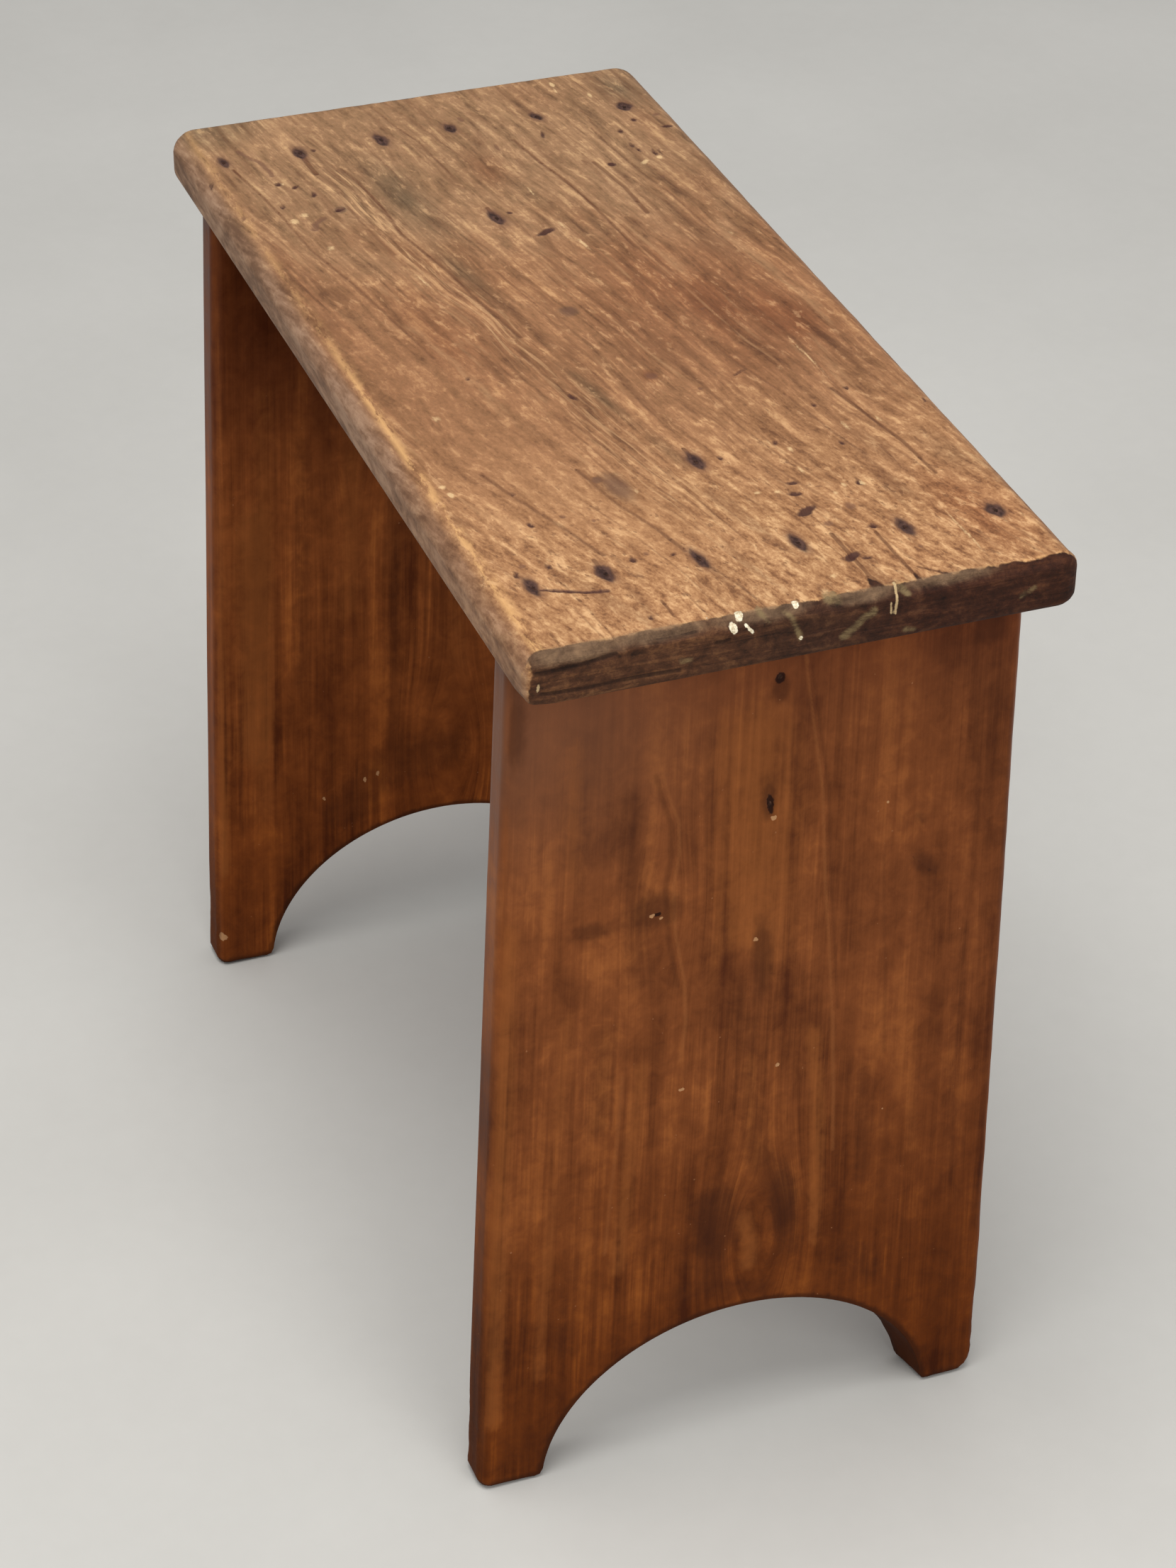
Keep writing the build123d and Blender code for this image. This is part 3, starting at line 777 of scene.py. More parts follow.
# Pale flecks: (x, y, length, width, degrees, strength)
SEAT_WASHES = (
    (165, 27.4, 4, 4, 0, 0.8), (163.3, 19.5, 3.6, 4, 0, 0.7), (170, 62.7, 6, 2.6, 10, 1),
    (168.8, 54.8, 5, 2.6, 0, 0.9), (174, 49, 4, 4, 0, 0.6), (134.6, 45.7, 7, 3.6, 0, 0.7),
    (151.7, 43.2, 9, 2.6, 6, 0.7), (126, 39.6, 6, 2.4, 0, 0.5), (123.7, 75, 12, 3, 2, 0.6),
    (122.5, 90.2, 8, 2.2, 8, 0.6), (123.7, -97, 6, 3, 5, 1.3), (116.3, -98.2, 5, 4, 0, 0.8),
    (145.6, -25.7, 5, 3, 0, 0.6), (233.4, 22.5, 6, 5, 0, 0.6), (243, 15, 8, 6, 0, 0.45),
    (61.5, -82.4, 8, 6, 0, 0.5), (-144.8, 96.3, 5, 4, 0, 1.1), (-142.2, 88, 9, 4.4, -45, 0.8),
    (-238.7, 76.8, 8, 2.8, 0, 1.4), (-231, 75.8, 10, 1.8, -4, 0.7), (-221.6, 89.8, 10, 3, -4, 0.7),
    (-141, -77.5, 7, 6, 0, 0.7), (-136.2, -83.6, 8, 6, 0, 0.8), (-176, -77.3, 5, 2, 0, 0.7),
    (-105, -76, 8, 5, -20, 0.6), (-60, -47.5, 26, 2.2, 10, 0.6), (-72, 31.5, 20, 2.4, 6, 0.8),
    (-93, 29, 14, 2.4, 4, 0.6), (-130, 27.5, 24, 1.6, 4, 0.6), (-60, 98, 6, 4, 0, 0.4),
    (60, 84, 60, 1.6, 3, 0.6), (219, 85.4, 52, 1.6, 2, 0.7),
)
# Dark notches where the end has broken into the top: (x, y, length, width, degrees)
END_NOTCHES = (
    (251, 36.2, 26, 6.4, 6), (251, 53, 20, 3.4, 0), (251, -11, 16, 4, 10), (251, 67, 18, 4, 30),
)
# Splits along the blackened end: (stroke through (y, z), width, depth)
END_SPLITS = (
    (((-106, 442.2), (-100, 441.8), (-86, 442.6), (-74, 444.6)), 1.8, 0.7),
    (((-104, 432.5), (-86, 431.8), (-66, 432.4), (-48, 431.6)), 1.6, 0.5),
    (((-57, 446.8), (-48, 446.6), (-41, 447.4)), 1.4, 0.7),
    (((-33, 440.9), (-30, 440.6), (-27.5, 441.2)), 1.6, 0.7),
)
# Paint spilt on it: drops (y, z, length, height, degrees), then drips and thin smears
END_PAINT = (
    (-26, 445.8, 5, 3.2, 105), (-22.6, 449.6, 3.8, 2.8, 40), (-19, 443.6, 4, 1.5, 128),
    (-20.6, 445.8, 2.4, 1.4, 120), (0.8, 449.6, 2.6, 2, 10), (2, 435.8, 2, 1.7, 0),
    (-35.2, 450.6, 1.5, 1.5, 0), (-105.4, 435.6, 3.6, 1.2, 85),
)
END_DRIPS = (
    (((42.7, 452), (42.4, 448), (42, 443.5), (41.6, 438.5)), 0.55),
    (((39.6, 444), (39.9, 439)), 0.42),
)
END_SMEARS = (
    (((20, 432.5), (24, 435.4), (28, 439), (32.4, 441.4)), 1.5),
    (((-4.6, 448.6), (-1.5, 444.8), (0, 441), (1.8, 436)), 0.9), (((46, 430.6), (50, 429.6)), 0.8),
    (((14, 451), (18, 448.6)), 1.8), (((-14.5, 449.5), (-11.6, 446)), 0.9),
    (((44.6, 449), (46.6, 446.6)), 1), (((96, 435.6), (101, 438)), 0.8),
    (((-47, 435.6), (-43, 435)), 0.8),
)
# The worn, greyer upper shoulder of the end: (y, z, length, height, degrees)
END_SHOULDERS = (
    (-90, 448.5, 60, 13, 0), (-56, 450, 60, 12, 0), (-14, 450.5, 60, 13, 0),
    (28, 450.5, 40, 13, 0), (66, 451, 56, 11, 0),
)


def seat_ring(from_side, from_end):
    """The plank's outline from above, drawn in by one amount at its sides and one at its ends."""
    arcs = []
    for along, across, radius in SEAT_CORNERS:
        bend = max(radius - (from_side + from_end) / 2, SHARPEST_CORNER)
        x = along * (SEAT_END - from_end - bend)
        y = across * (SEAT_WIDTH / 2 - from_side - bend)
        start = math.atan2(across, along) - math.pi / 4
        turns = [start + math.pi / 2 * step / CORNER_STEPS for step in range(CORNER_STEPS + 1)]
        arcs.append([(x + bend * math.cos(turn), y + bend * math.sin(turn)) for turn in turns])
    loop = []
    for arc, after, count in zip(arcs, arcs[1:] + arcs[:1], SEAT_RING_STEPS):
        loop += arc[:-1] + steps_between(arc[-1], after[0], count)
    return np.array(loop)


def seat_rounds(at_side, at_end):
    """The rounding at each point of the ring, which turns from the sides' to the ends'."""
    around = []
    for i, count in enumerate(SEAT_RING_STEPS):
        to_side = [step / CORNER_STEPS for step in range(CORNER_STEPS)]
        around += [1 - share for share in to_side] if i % 2 else to_side
        around += [0.0 if i % 2 else 1.0] * count
    return at_end + (at_side - at_end) * np.array(around)


def strongest(fields, name, values):
    """Lays values over a field, keeping the stronger of the two at each point."""
    fields[name] = np.maximum(fields[name], np.clip(values, 0, 2))


def deepest(fields, name, depth, where):
    """Lays depths inside a mark, in millimetres, over a field at the points of where."""
    depth = np.where(where > 0.4, np.clip(depth, -DEPTH_LIMIT, DEPTH_LIMIT), -DEPTH_LIMIT)
    fields[name] = np.maximum(fields[name], depth)


def seat_wear(points, normal):
    """How deep use has worn each point of the seat, its marks apart."""
    x, y, z = points.T
    up = np.clip(normal[:, 2], 0, 1)
    on_top = rise(normal[:, 2], 0.5, 0.9)
    at_end = rise(np.abs(normal[:, 0]), 0.25, 0.85)
    near_end = rise(normal[:, 0], 0.2, 0.8)
    bending = rise(normal[:, 2], 0.05, 0.6) * rise(-normal[:, 2], -0.99, -0.75)
    grained = points - np.outer(x, (0, GRAIN_SLOPE, 0))
    coats = (
        (0.18, grained, (80, 30, 34), rise(up, 0, 0.6)),
        (0.15, grained, (16, 5, 6), on_top),
        (0.2 * rise(x, 80, 230), grained, (8, 5, 4), on_top),
        (0.35 * bending, points, (16, 16, 16), 1),
        (0.30 * at_end, points, (26, 16, 3.2), 1),
        (0.55 * near_end * bending, points, (9, 5, 9), 1),
    )
    worn = wear(coats, 11)
    # The near end's lower front corner is knocked off, and its upper corners are kept crisp
    away = points - (SEAT_END, SEAT_FRONT, UNDERSIDE)
    worn += 1.1 * rise(-np.linalg.norm(away / (15, 14, 15), axis=1), -1, -0.1)
    at_corners = rise(np.abs(y - SEAT_MIDDLE), 104, 110)
    kept = 0.7 * rise(x, 240, 246) * rise(z, UNDERSIDE + 8, UNDERSIDE + 16) * at_corners
    return worn * (1 - kept)


def mark_top(points, on_top, worn, fields):
    """Lays the marks of the seat's top over its fields, and returns how deep it is then worn."""
    flat = points[:, :2]
    moved = torn(flat, points, (1.3, 0.9), (6, 4, 9), 21)
    for *spot, depth in SEAT_SLOTS:
        inside = near_spot(moved, spot)
        worn += on_top * depth * rise(inside, 0, 0.8)
        if depth < 0.55:
            strongest(fields, "halo", on_top * inside * 1.6)
        else:
            deepest(fields, "slot", inside * min(spot[2:4]) / 2 - 0.3, on_top)
    for stroke, width, depth in SEAT_SCRATCHES:
        inside = near_stroke(moved, stroke, width)
        worn += on_top * depth * rise(inside, 0, 0.9)
        if depth > 0.55:
            deepest(fields, "slot", inside * width - 1.1, on_top)
        strongest(fields, "halo", on_top * inside * 1.6)
    for stroke, width, strength in SEAT_FURROWS:
        inside = np.maximum(near_stroke(flat, stroke, width), 0)
        worn += on_top * 0.25 * strength * inside
        strongest(fields, "furrow", on_top * strength * inside)
    for spot in SEAT_PITS:
        x, y, length, width, tilt = spot
        inside = (near_spot(moved, spot, True) + near_spot(moved, spot)) / 2
        sunk = on_top * rise(inside, 0, 0.5)
        worn = worn * (1 - sunk) + (NAIL_SINK + 0.1) * sunk
        deepest(fields, "pit", inside * width / 2 - 0.7, on_top)
        wide = near_spot(flat, (x, y, length * 1.7 + 4, width * 1.5 + 3, tilt)) * 1.2
        strongest(fields, "halo", on_top * wide)
    for *spot, strength in SEAT_WASHES:
        strongest(fields, "wash", on_top * near_spot(flat, spot) * strength * 1.5)
    for name, spots in SEAT_TINTS.items():
        for *spot, strength in spots:
            strongest(fields, name, on_top * near_spot(flat, spot) * strength)
        fields[name] = np.clip(fields[name], 0, 1)
    return worn


def mark_end(points, on_top, on_near, worn, fields):
    """Lays the marks of the seat's ends over its fields, and wears in the near one's splits."""
    x, y, _ = points.T
    across_end = points[:, 1:]
    close_to_end = rise(x, SEAT_END - 9, SEAT_END - 6)
    for stroke, width, depth in END_SPLITS:
        inside = near_stroke(across_end, stroke, width)
        worn += on_near * depth * rise(inside, 0, 0.9)
        strongest(fields, "crack", on_near * inside)
    for spot in END_PAINT:
        inside = near_spot(across_end, spot)
        deepest(fields, "paint", inside * min(spot[2:4]) / 2, close_to_end)
    for name, strokes in (("paint", END_DRIPS), ("smear", END_SMEARS)):
        for stroke, width in strokes:
            inside = near_stroke(across_end, stroke, width)
            deepest(fields, name, inside * width, close_to_end)
    for spot in END_SHOULDERS:
        inside = near_spot(across_end, spot)
        strongest(fields, "shoulder", rise(x, 245, 248) * inside * 1.7)
    # The near end is blackened up to its arris and its front corner, the far one on its rim
    near_depth = np.minimum(x - 247.4, y - SEAT_FRONT - 2.6)
    fields["end"] = np.clip(np.where(x > 0, near_depth, -x - 247.8), -4, 4)
    for spot in END_NOTCHES:
        inside = near_spot(points[:, :2], spot, True)
        deepest(fields, "end", inside * spot[3] / 2, on_top * (x > 0))


def seat_fields(points, normal):
    """How far each point of the seat is worn in, and its painted fields."""
    x, y, _ = points.T
    on_top = rise(normal[:, 2], 0.5, 0.9)
    on_near = rise(normal[:, 0], 0.2, 0.8) * (x > 0)
    names = ("halo", "wash", "crack", "furrow", "shoulder", "red", "grey", "light", "calm")
    fields = {name: np.zeros(len(points)) for name in names}
    for name in ("pit", "slot", "paint", "smear"):
        fields[name] = np.full(len(points), -DEPTH_LIMIT)
    worn = mark_top(points, on_top, seat_wear(points, normal), fields)
    mark_end(points, on_top, on_near, worn, fields)
    fields["side"] = rise(np.abs(normal[:, 1]), 0.35, 0.85)
    fields["under"] = rise(-normal[:, 2], 0.5, 0.9)
    # The front arris is rubbed pale and carries a painted highlight where the top starts to round
    # over, more so towards the near end, and so is the near one
    front_arris_rub_and_highlight = rise(-normal[:, 1], 0.02, 0.12) * rise(normal[:, 1], -0.5, -0.26)
    near_arris_rub_and_highlight = 0.7 * rise(normal[:, 0], 0.03, 0.2) * rise(-normal[:, 0], -0.6, -0.3) * (x > 0)
    front_arris_rub_and_highlight *= 0.4 + 0.6 * rise(x, -60, 60)
    fields["arris"] = np.clip(front_arris_rub_and_highlight + near_arris_rub_and_highlight, 0, 1) * (normal[:, 2] > 0)
    # A band of ridges follows the grain past the middle, wider and fainter towards the near end
    from_line = np.abs(y - (GRAIN_SLOPE * x - 30))
    half_width = 11 + 4 * rise(x, -40, 120)
    along = rise(x, -235, -170) * rise(-x, -215, -150) * (1 - 0.5 * rise(x, -60, 40))
    fields["ridge_band"] = on_top * rise(half_width - from_line, 0, 7) * along
    return worn, fields


def make_seat(material):
    """The seat, its mesh points closer together in and round its marks."""
    (top_side, low_side), (top_end, low_end) = SIDE_ROUNDS, END_ROUNDS
    rings = (
        lambda share: seat_ring(top_side * share, top_end * share),
        lambda share: seat_ring(0, 0),
        lambda share: seat_ring(low_side * share, low_end * share),
    )
    rounds = (seat_rounds(top_side, top_end), seat_rounds(low_side, low_end))
    rows = board_rows(SEAT_THICK, rings, rounds, roll=6, flat=14)
    in_mark, by_mark, near_end, elsewhere = SEAT_GAPS

    def spacing(points):
        gap = np.full(len(points), elsewhere)
        gap[points[:, 0] > 100] = near_end
        steps = ((-0.8, by_mark), (-0.1, in_mark))
        spots, strokes = SEAT_PITS + SEAT_SLOTS + SEAT_WASHES, SEAT_SCRATCHES + SEAT_FURROWS
        return closer(points + (0, SEAT_MIDDLE), gap, 2, steps, spots, strokes)

    half = np.array((SEAT_END - top_end, SEAT_WIDTH / 2 - top_side))
    caps = []
    for spacing_at, gaps, margin, clear, row, seed in (
        (spacing, SEAT_GAPS, 1.4, 1.0, 0, 3),
        (even_gap(7.0), (7.0,), 1.5, 2.0, -1, 4),
    ):
        points = spread_points(-half, half, spacing_at, gaps, seed)
        points = points[(np.abs(points) < half - margin).all(1)]
        caps.append(clear_of(points, rows[row][0], clear))
    plane, depth, faces = closed_board(SEAT_THICK, rows, *caps)
    points = np.column_stack([plane[:, 0], plane[:, 1] + SEAT_MIDDLE, SEAT_TOP - depth])
    normal = normals_of(points, faces)
    worn, fields = seat_fields(points, normal)
    points = points - normal * worn[:, None]
    return make_piece("seat", points, faces, fields, material, "seat_board")


# The end boards

# Marks on an end board's marked face, as (y, z, length, height, degrees): pits with their
# depths, pale chips, stains, cuts (stroke, width, depth), lines of grain that stand out
# (stroke, width, pale above 0 or dark below it) and broad streaks likewise. The marked face
# is the near board's outer one and the far board's inner one, and back_pits are on the other.
NEAR_MARKS = {
    "pits": (
        (8.4, 397, 5, 6.4, 0, 1.2), (5.9, 337, 3, 12, 8, 1.1), (-42.6, 293.8, 3.2, 1.8, 15, 0.4),
    ),
    "back_pits": (),
    "chips": (
        (7.6, 330, 3.6, 3, 0), (-44.8, 293.6, 3.2, 2, 20), (-41, 291.6, 2.4, 1.7, 0),
        (1.6, 270.6, 2.6, 2.8, 0), (-30, 200.4, 3.8, 2.2, 0), (13.6, 202.2, 3, 2, 0),
        (63.5, 165, 1.6, 1.6, 0), (58.5, 326.5, 1.8, 1.4, 0),
    ),
    "stains": (
        (79, 288, 16, 5, -45), (74, 315, 10, 8, 0), (-44, 296, 34, 26, 0), (8.4, 392, 12, 20, 0),
        (5, 340, 8, 30, 0), (-70, 292, 30, 12, 0), (100, 402, 24, 26, 0), (-105, 395, 18, 60, 0),
        (5, 262, 14, 60, 0), (-12, 124, 30, 64, 0), (19, 128, 20, 52, 0), (77, 291, 24, 13, -45),
    ),
    "cuts": ((((71, 296), (76, 290), (84, 284)), 1.3, 0.3), (((74, 293), (80, 286)), 1.3, 0.2)),
    "lines": (
        (((19, 406), (24, 372), (29, 339), (32, 292), (35, 262), (38, 222), (40, 182),
         (41, 149)), 2, 0.75),
        (((21.5, 400), (26, 372), (31.5, 339), (34.5, 292), (37, 262), (40, 226)), 2.4, -0.7),
        (((-42, 366), (-39, 352), (-34, 337), (-33.5, 322), (-36, 306), (-34.5, 282),
         (-30, 256), (-29, 236), (-31, 216)), 2, 0.8),
        (((-44, 362), (-41, 350), (-37, 337), (-36.5, 322), (-39, 306), (-37.5, 282),
         (-33, 256)), 3, -0.8), (((-57, 214), (-59, 180), (-62, 148), (-64, 120)), 2.2, 0.6),
        (((58, 300), (60, 262), (62, 232), (63, 196)), 2, -0.6),
        (((6, 262), (4, 232), (1, 200)), 3, -0.6),
    ),
    "tints": (
        (((-2, 370), (2, 330), (2, 270)), 36, 0.8), (((30, 216), (34, 160), (33, 100)), 7, 0.9),
        (((-49, 216), (-54, 160), (-58, 110)), 8, 0.7),
        (((-107, 300), (-112, 160), (-116, 40)), 10, 0.8),
        (((-82, 250), (-90, 130), (-94, 60)), 8, 0.5), (((-78, 380), (-82, 320)), 16, 0.4),
        (((-56, 350), (-52, 300), (-48, 262)), 16, -0.7), (((-64, 240), (-68, 190)), 12, -0.7),
        (((-6, 262), (0, 200), (4, 160)), 12, -0.7),
        (((-20, 136), (-16, 110), (-14, 92)), 12, -0.9),
        (((10, 150), (20, 128), (24, 100)), 14, -0.9), (((54, 190), (55, 130)), 9, -0.7),
        (((80, 404), (100, 380), (108, 300)), 22, -0.6), (((0, 122), (4, 104), (3, 96)), 9, 0.8),
        (((50, 90), (62, 76)), 14, -0.7), (((74, 220), (78, 140)), 8, 0.4),
        (((-78, 120), (-84, 70)), 9, -0.5), (((96, 250), (98, 120)), 8, -0.5),
        (((12, 80), (-30, 88)), 10, -0.6),
    ),
}
FAR_MARKS = {
    "pits": (),
    "back_pits": ((8.4, 397.2, 5, 8.6, 0, 1.2), (5.9, 335.3, 4.6, 9.2, 5, 1.2)),
    "chips": ((-120, 18, 8, 7, 0), (-40, 99, 2, 4, 0), (-33, 101, 2, 4, 0), (-62, 92, 2, 3, 0)),
    "stains": (),
    "cuts": (),
    "lines": (),
    "tints": (
        (((-110, 380), (-116, 200), (-118, 60)), 9, 0.9),
        (((-84, 330), (-90, 200), (-94, 90)), 12, 0.5), (((-66, 300), (-72, 160)), 9, -0.6),
        (((-40, 330), (-46, 200)), 12, 0.5), (((-20, 260), (-24, 120)), 10, -0.6),
        (((10, 300), (12, 160)), 12, 0.4), (((40, 280), (44, 140)), 12, -0.5),
        (((70, 330), (74, 120)), 14, 0.4), (((-50, 84), (-28, 104), (4, 108)), 22, -1.1),
        (((-96, 260), (-98, 130)), 16, 0.7),
    ),
}
# Knots that the grain bends round: (y, z, width, height, how far it is pushed aside)
KNOTS = ((7, 108, 22, 40, 15), (-40, 296, 15, 34, 8))


def arch_line(steps=66):
    """Points along the marked face's arch, from the front foot to the back one."""
    start = math.asin((MOUTH_TOP - ARCH_SPRING) / ARCH_RISE)
    turns = [math.pi - start - (math.pi - 2 * start) * step / steps for step in range(steps + 1)]
    return [
        (ARCH_MIDDLE + ARCH_HALF * math.cos(turn), ARCH_SPRING + ARCH_RISE * math.sin(turn))
        for turn in turns
    ]


def board_runs(heel_width, heel_height):
    """The marked face's outline from its upper front corner down, round both feet and back up.

    Each run is (its end, its rounding, how much of the saw's drift it takes)."""
    slope = (FOOT_FRONT - TOP_FRONT) / UNDERSIDE
    runs = [((TOP_FRONT + slope * (UNDERSIDE - FOOT_RADIUS), FOOT_RADIUS), BOARD_ROUND, 0)]
    for step, rounding in enumerate(FOOT_ROUNDS, 1):
        turn = math.pi * (1 + step / 10)
        y = FOOT_FRONT + FOOT_RADIUS + FOOT_RADIUS * math.cos(turn)
        runs.append(((y, FOOT_RADIUS + FOOT_RADIUS * math.sin(turn)), rounding, 0))
    arch = arch_line()
    front, back = arch[0][0], arch[-1][0]
    heel_top = heel_height * 1.17
    heel_top_y = TOP_BACK + (FOOT_BACK - TOP_BACK) * (UNDERSIDE - heel_top) / UNDERSIDE
    ease = min(3.9, heel_width * 0.9)
    return [
        *runs,
        ((FOOT_FRONT + FOOT_RADIUS, 0.0), 2.8, 0),
        ((front - MOUTH_FLOOR[0], MOUTH_FLOOR[1]), 2.6, 1),
        ((front - MOUTH_MIDDLE[0], MOUTH_MIDDLE[1]), 1.8, 1),
        *[(point, ARCH_ROUND, 1) for point in arch],
        ((back + MOUTH_MIDDLE[0], MOUTH_MIDDLE[1]), ARCH_ROUND, 1),
        ((back + MOUTH_FLOOR[0], MOUTH_FLOOR[1]), 1.8, 1),
        ((FOOT_BACK - heel_width * 1.17, 0.0), 2.6, 0),
        ((FOOT_BACK - heel_width * 0.55, heel_height * 0.29), ease * 0.85, 0),
        ((FOOT_BACK - heel_width * 0.2, heel_height * 0.69), ease * 0.95, 0),
        ((heel_top_y, heel_top), ease, 0),
        ((TOP_BACK, UNDERSIDE), BOARD_ROUND, 0),
        ((TOP_FRONT, UNDERSIDE), 0.25, 0),
    ]


def board_outline(heel_width, heel_height):
    """(loop at the marked face, loop at the other face, rounding of each side) of an end board."""
    face, back, rounding = [], [], []
    before, shift_before = (TOP_FRONT, UNDERSIDE), 0
    for end, bend, shift in board_runs(heel_width, heel_height):
        count = max(1, round(math.dist(before, end) / OUTLINE_STEP))
        for step in range(count):
            share = step / count
            y = before[0] + (end[0] - before[0]) * share
            z = before[1] + (end[1] - before[1]) * share
            # The top stays flat: no point falls inside the rounding of its two corners
            if z == UNDERSIDE and 0 < min(abs(y - TOP_FRONT), abs(y - TOP_BACK)) < 5:
                continue
            moved = shift_before + (shift - shift_before) * share
            lifted = moved * rise(np.array(z), 0, 12)
            face.append((y, z))
            back.append((y + SAW_DRIFT * moved, z + SAW_DROP * float(lifted)))
            rounding.append(bend)
        before, shift_before = end, shift
    return np.array(face), np.array(back), np.array(rounding)


def fan_of(y, z):
    """The place across the board that a line of grain keeps as the board widens downwards."""
    down = (UNDERSIDE - z) / UNDERSIDE
    front = TOP_FRONT + (FOOT_FRONT - TOP_FRONT) * down
    back = TOP_BACK + (FOOT_BACK - TOP_BACK) * down
    fan = (y - front) / (back - front) * (TOP_BACK - TOP_FRONT)
    for knot_y, knot_z, wide, tall, push in KNOTS:
        away = y - knot_y
        near = np.exp(-((away / wide) ** 2) - ((z - knot_z) / tall) ** 2)
        fan = fan - push * near * np.tanh(away / 9)
    return fan


def inside_loop(points, loop):
    """Which points lie inside a closed loop."""
    inside = np.zeros(len(points), bool)
    for a, b in zip(loop, np.roll(loop, -1, 0)):
        crosses = (a[1] > points[:, 1]) != (b[1] > points[:, 1])
        if not crosses.any():
            continue
        at = a[0] + (points[:, 1] - a[1]) * (b[0] - a[0]) / (b[1] - a[1] if b[1] != a[1] else 1e-9)
        inside ^= crosses & (points[:, 0] < at)
    return inside


def board_mesh(outer_x, heel, marks, seed):
    """(points, faces) of an end board with its sharp corners rolled, before any wear."""
    rows = sawn_rows(BOARD_THICK, *board_outline(*heel), roll=4, flat=5)
    in_mark, by_mark, elsewhere = BOARD_GAPS
    steps = ((-0.9, by_mark), (-0.2, in_mark))
    chips = [(*chip[:4], 0) for chip in marks["chips"]]

    def behind(points, pits="back_pits"):
        return closer(points, np.full(len(points), elsewhere), 3, steps, marks[pits])

    def in_front(points):
        gap = behind(points, "pits")
        return closer(points, gap, 3, steps[1:], chips, marks["cuts"] + marks["lines"])

    caps = []
    for row, cap_seed, spacing_at in ((0, seed, in_front), (-1, seed + 1, behind)):
        loop = rows[row][0]
        low, high = (FOOT_FRONT, 0), (FOOT_BACK, UNDERSIDE)
        points = spread_points(low, high, spacing_at, BOARD_GAPS, cap_seed)
        caps.append(clear_of(points[inside_loop(points, loop)], loop, 1.5))
    plane, depth, faces = closed_board(BOARD_THICK, rows, *caps)
    return np.column_stack([outer_x - depth, plane]), faces


def board_fields(points, normal, marks, seed):
    """How far each point of an end board is worn in, and its painted fields."""
    _, y, z = points.T
    on_face, on_back = rise(normal[:, 0], 0.5, 0.9), rise(-normal[:, 0], 0.5, 0.9)
    on_side = rise(np.abs(normal[:, 1]), 0.3, 0.9)
    bending = rise(np.abs(normal[:, 0]), 0.05, 0.5) * rise(-np.abs(normal[:, 0]), -0.995, -0.8)
    below_top = rise(-z, -UNDERSIDE, -UNDERSIDE + 3)
    from_arch = ((y - ARCH_MIDDLE) / ARCH_HALF) ** 2 + ((z - ARCH_SPRING) / ARCH_RISE) ** 2
    by_arch = rise(-from_arch, -1.12, -1.04)
    coats = (
        (0.14, points, (30, 40, 90), below_top),
        (0.45 * bending * (1 - 0.75 * by_arch), points, (18, 14, 26), below_top),
        (0.5 * on_side * (1 - rise(z, 20, 60)), points, (9, 9, 7), 1),
    )
    worn = wear(coats, seed + 2)
    names = ("pit", "chip", "stain", "line", "tint")
    fields = {field: np.zeros(len(points)) for field in names}
    flat = points[:, 1:]
    moved = torn(flat, points, (0.7, 0.7), (4, 3, 3), seed + 5)
    for where, spots in ((on_face, marks["pits"]), (on_back, marks["back_pits"])):
        for *spot, depth in spots:
            inside = near_spot(moved, spot)
            worn += where * depth * rise(inside, 0, 0.8)
            strongest(fields, "pit", where * np.clip(inside * 1.6, 0, 1))
    for spot in marks["chips"]:
        inside = np.clip(near_spot(flat, spot) * 1.6, 0, 1) * rise(normal[:, 0], 0.2, 0.6)
        strongest(fields, "chip", inside)
        worn += 0.3 * rise(inside, 0.1, 0.6)
    for spot in marks["stains"]:
        strongest(fields, "stain", on_face * np.clip(near_spot(flat, spot) * 1.25, 0, 1))
    for stroke, width, depth in marks["cuts"]:
        inside = near_stroke(flat, stroke, width)
        worn += on_face * depth * rise(inside, 0, 0.9)
        strongest(fields, "pit", 0.2 * on_face * inside)
    for field, strokes in (("line", marks["lines"]), ("tint", marks["tints"])):
        for stroke, width, strength in strokes:
            fields[field] += on_face * strength * rise(near_stroke(flat, stroke, width), 0, 1)
    fields["fan"] = fan_of(y, z)
    fields["rub"] = bending * rise(z, 0, 40)
    # Cut wood is darker: the arch's wall and its mouth and the floor faces. The sides low down get
    # painted shade
    sawn = rise(np.abs(normal[:, 2]), 0.3, 0.8) * (z < 100)
    side_shade = 0.5 * on_side * (1 - rise(z, 20, 220))
    at_floor = 0.8 * rise(-z, -5, -1.5)
    fields["cut"] = np.maximum.reduce([sawn, 0.8 * by_arch, at_floor, side_shade])
    return worn, fields


def make_end_board(name, outer_x, heel, marks, material, node, seed):
    """An end board whose marked face stands at outer_x and looks along +X."""
    points, faces = board_mesh(outer_x, heel, marks, seed)
    normal = normals_of(points, faces)
    worn, fields = board_fields(points, normal, marks, seed)
    points = points - normal * worn[:, None]
    return make_piece(name, points, faces, fields, material, node)


# The rail


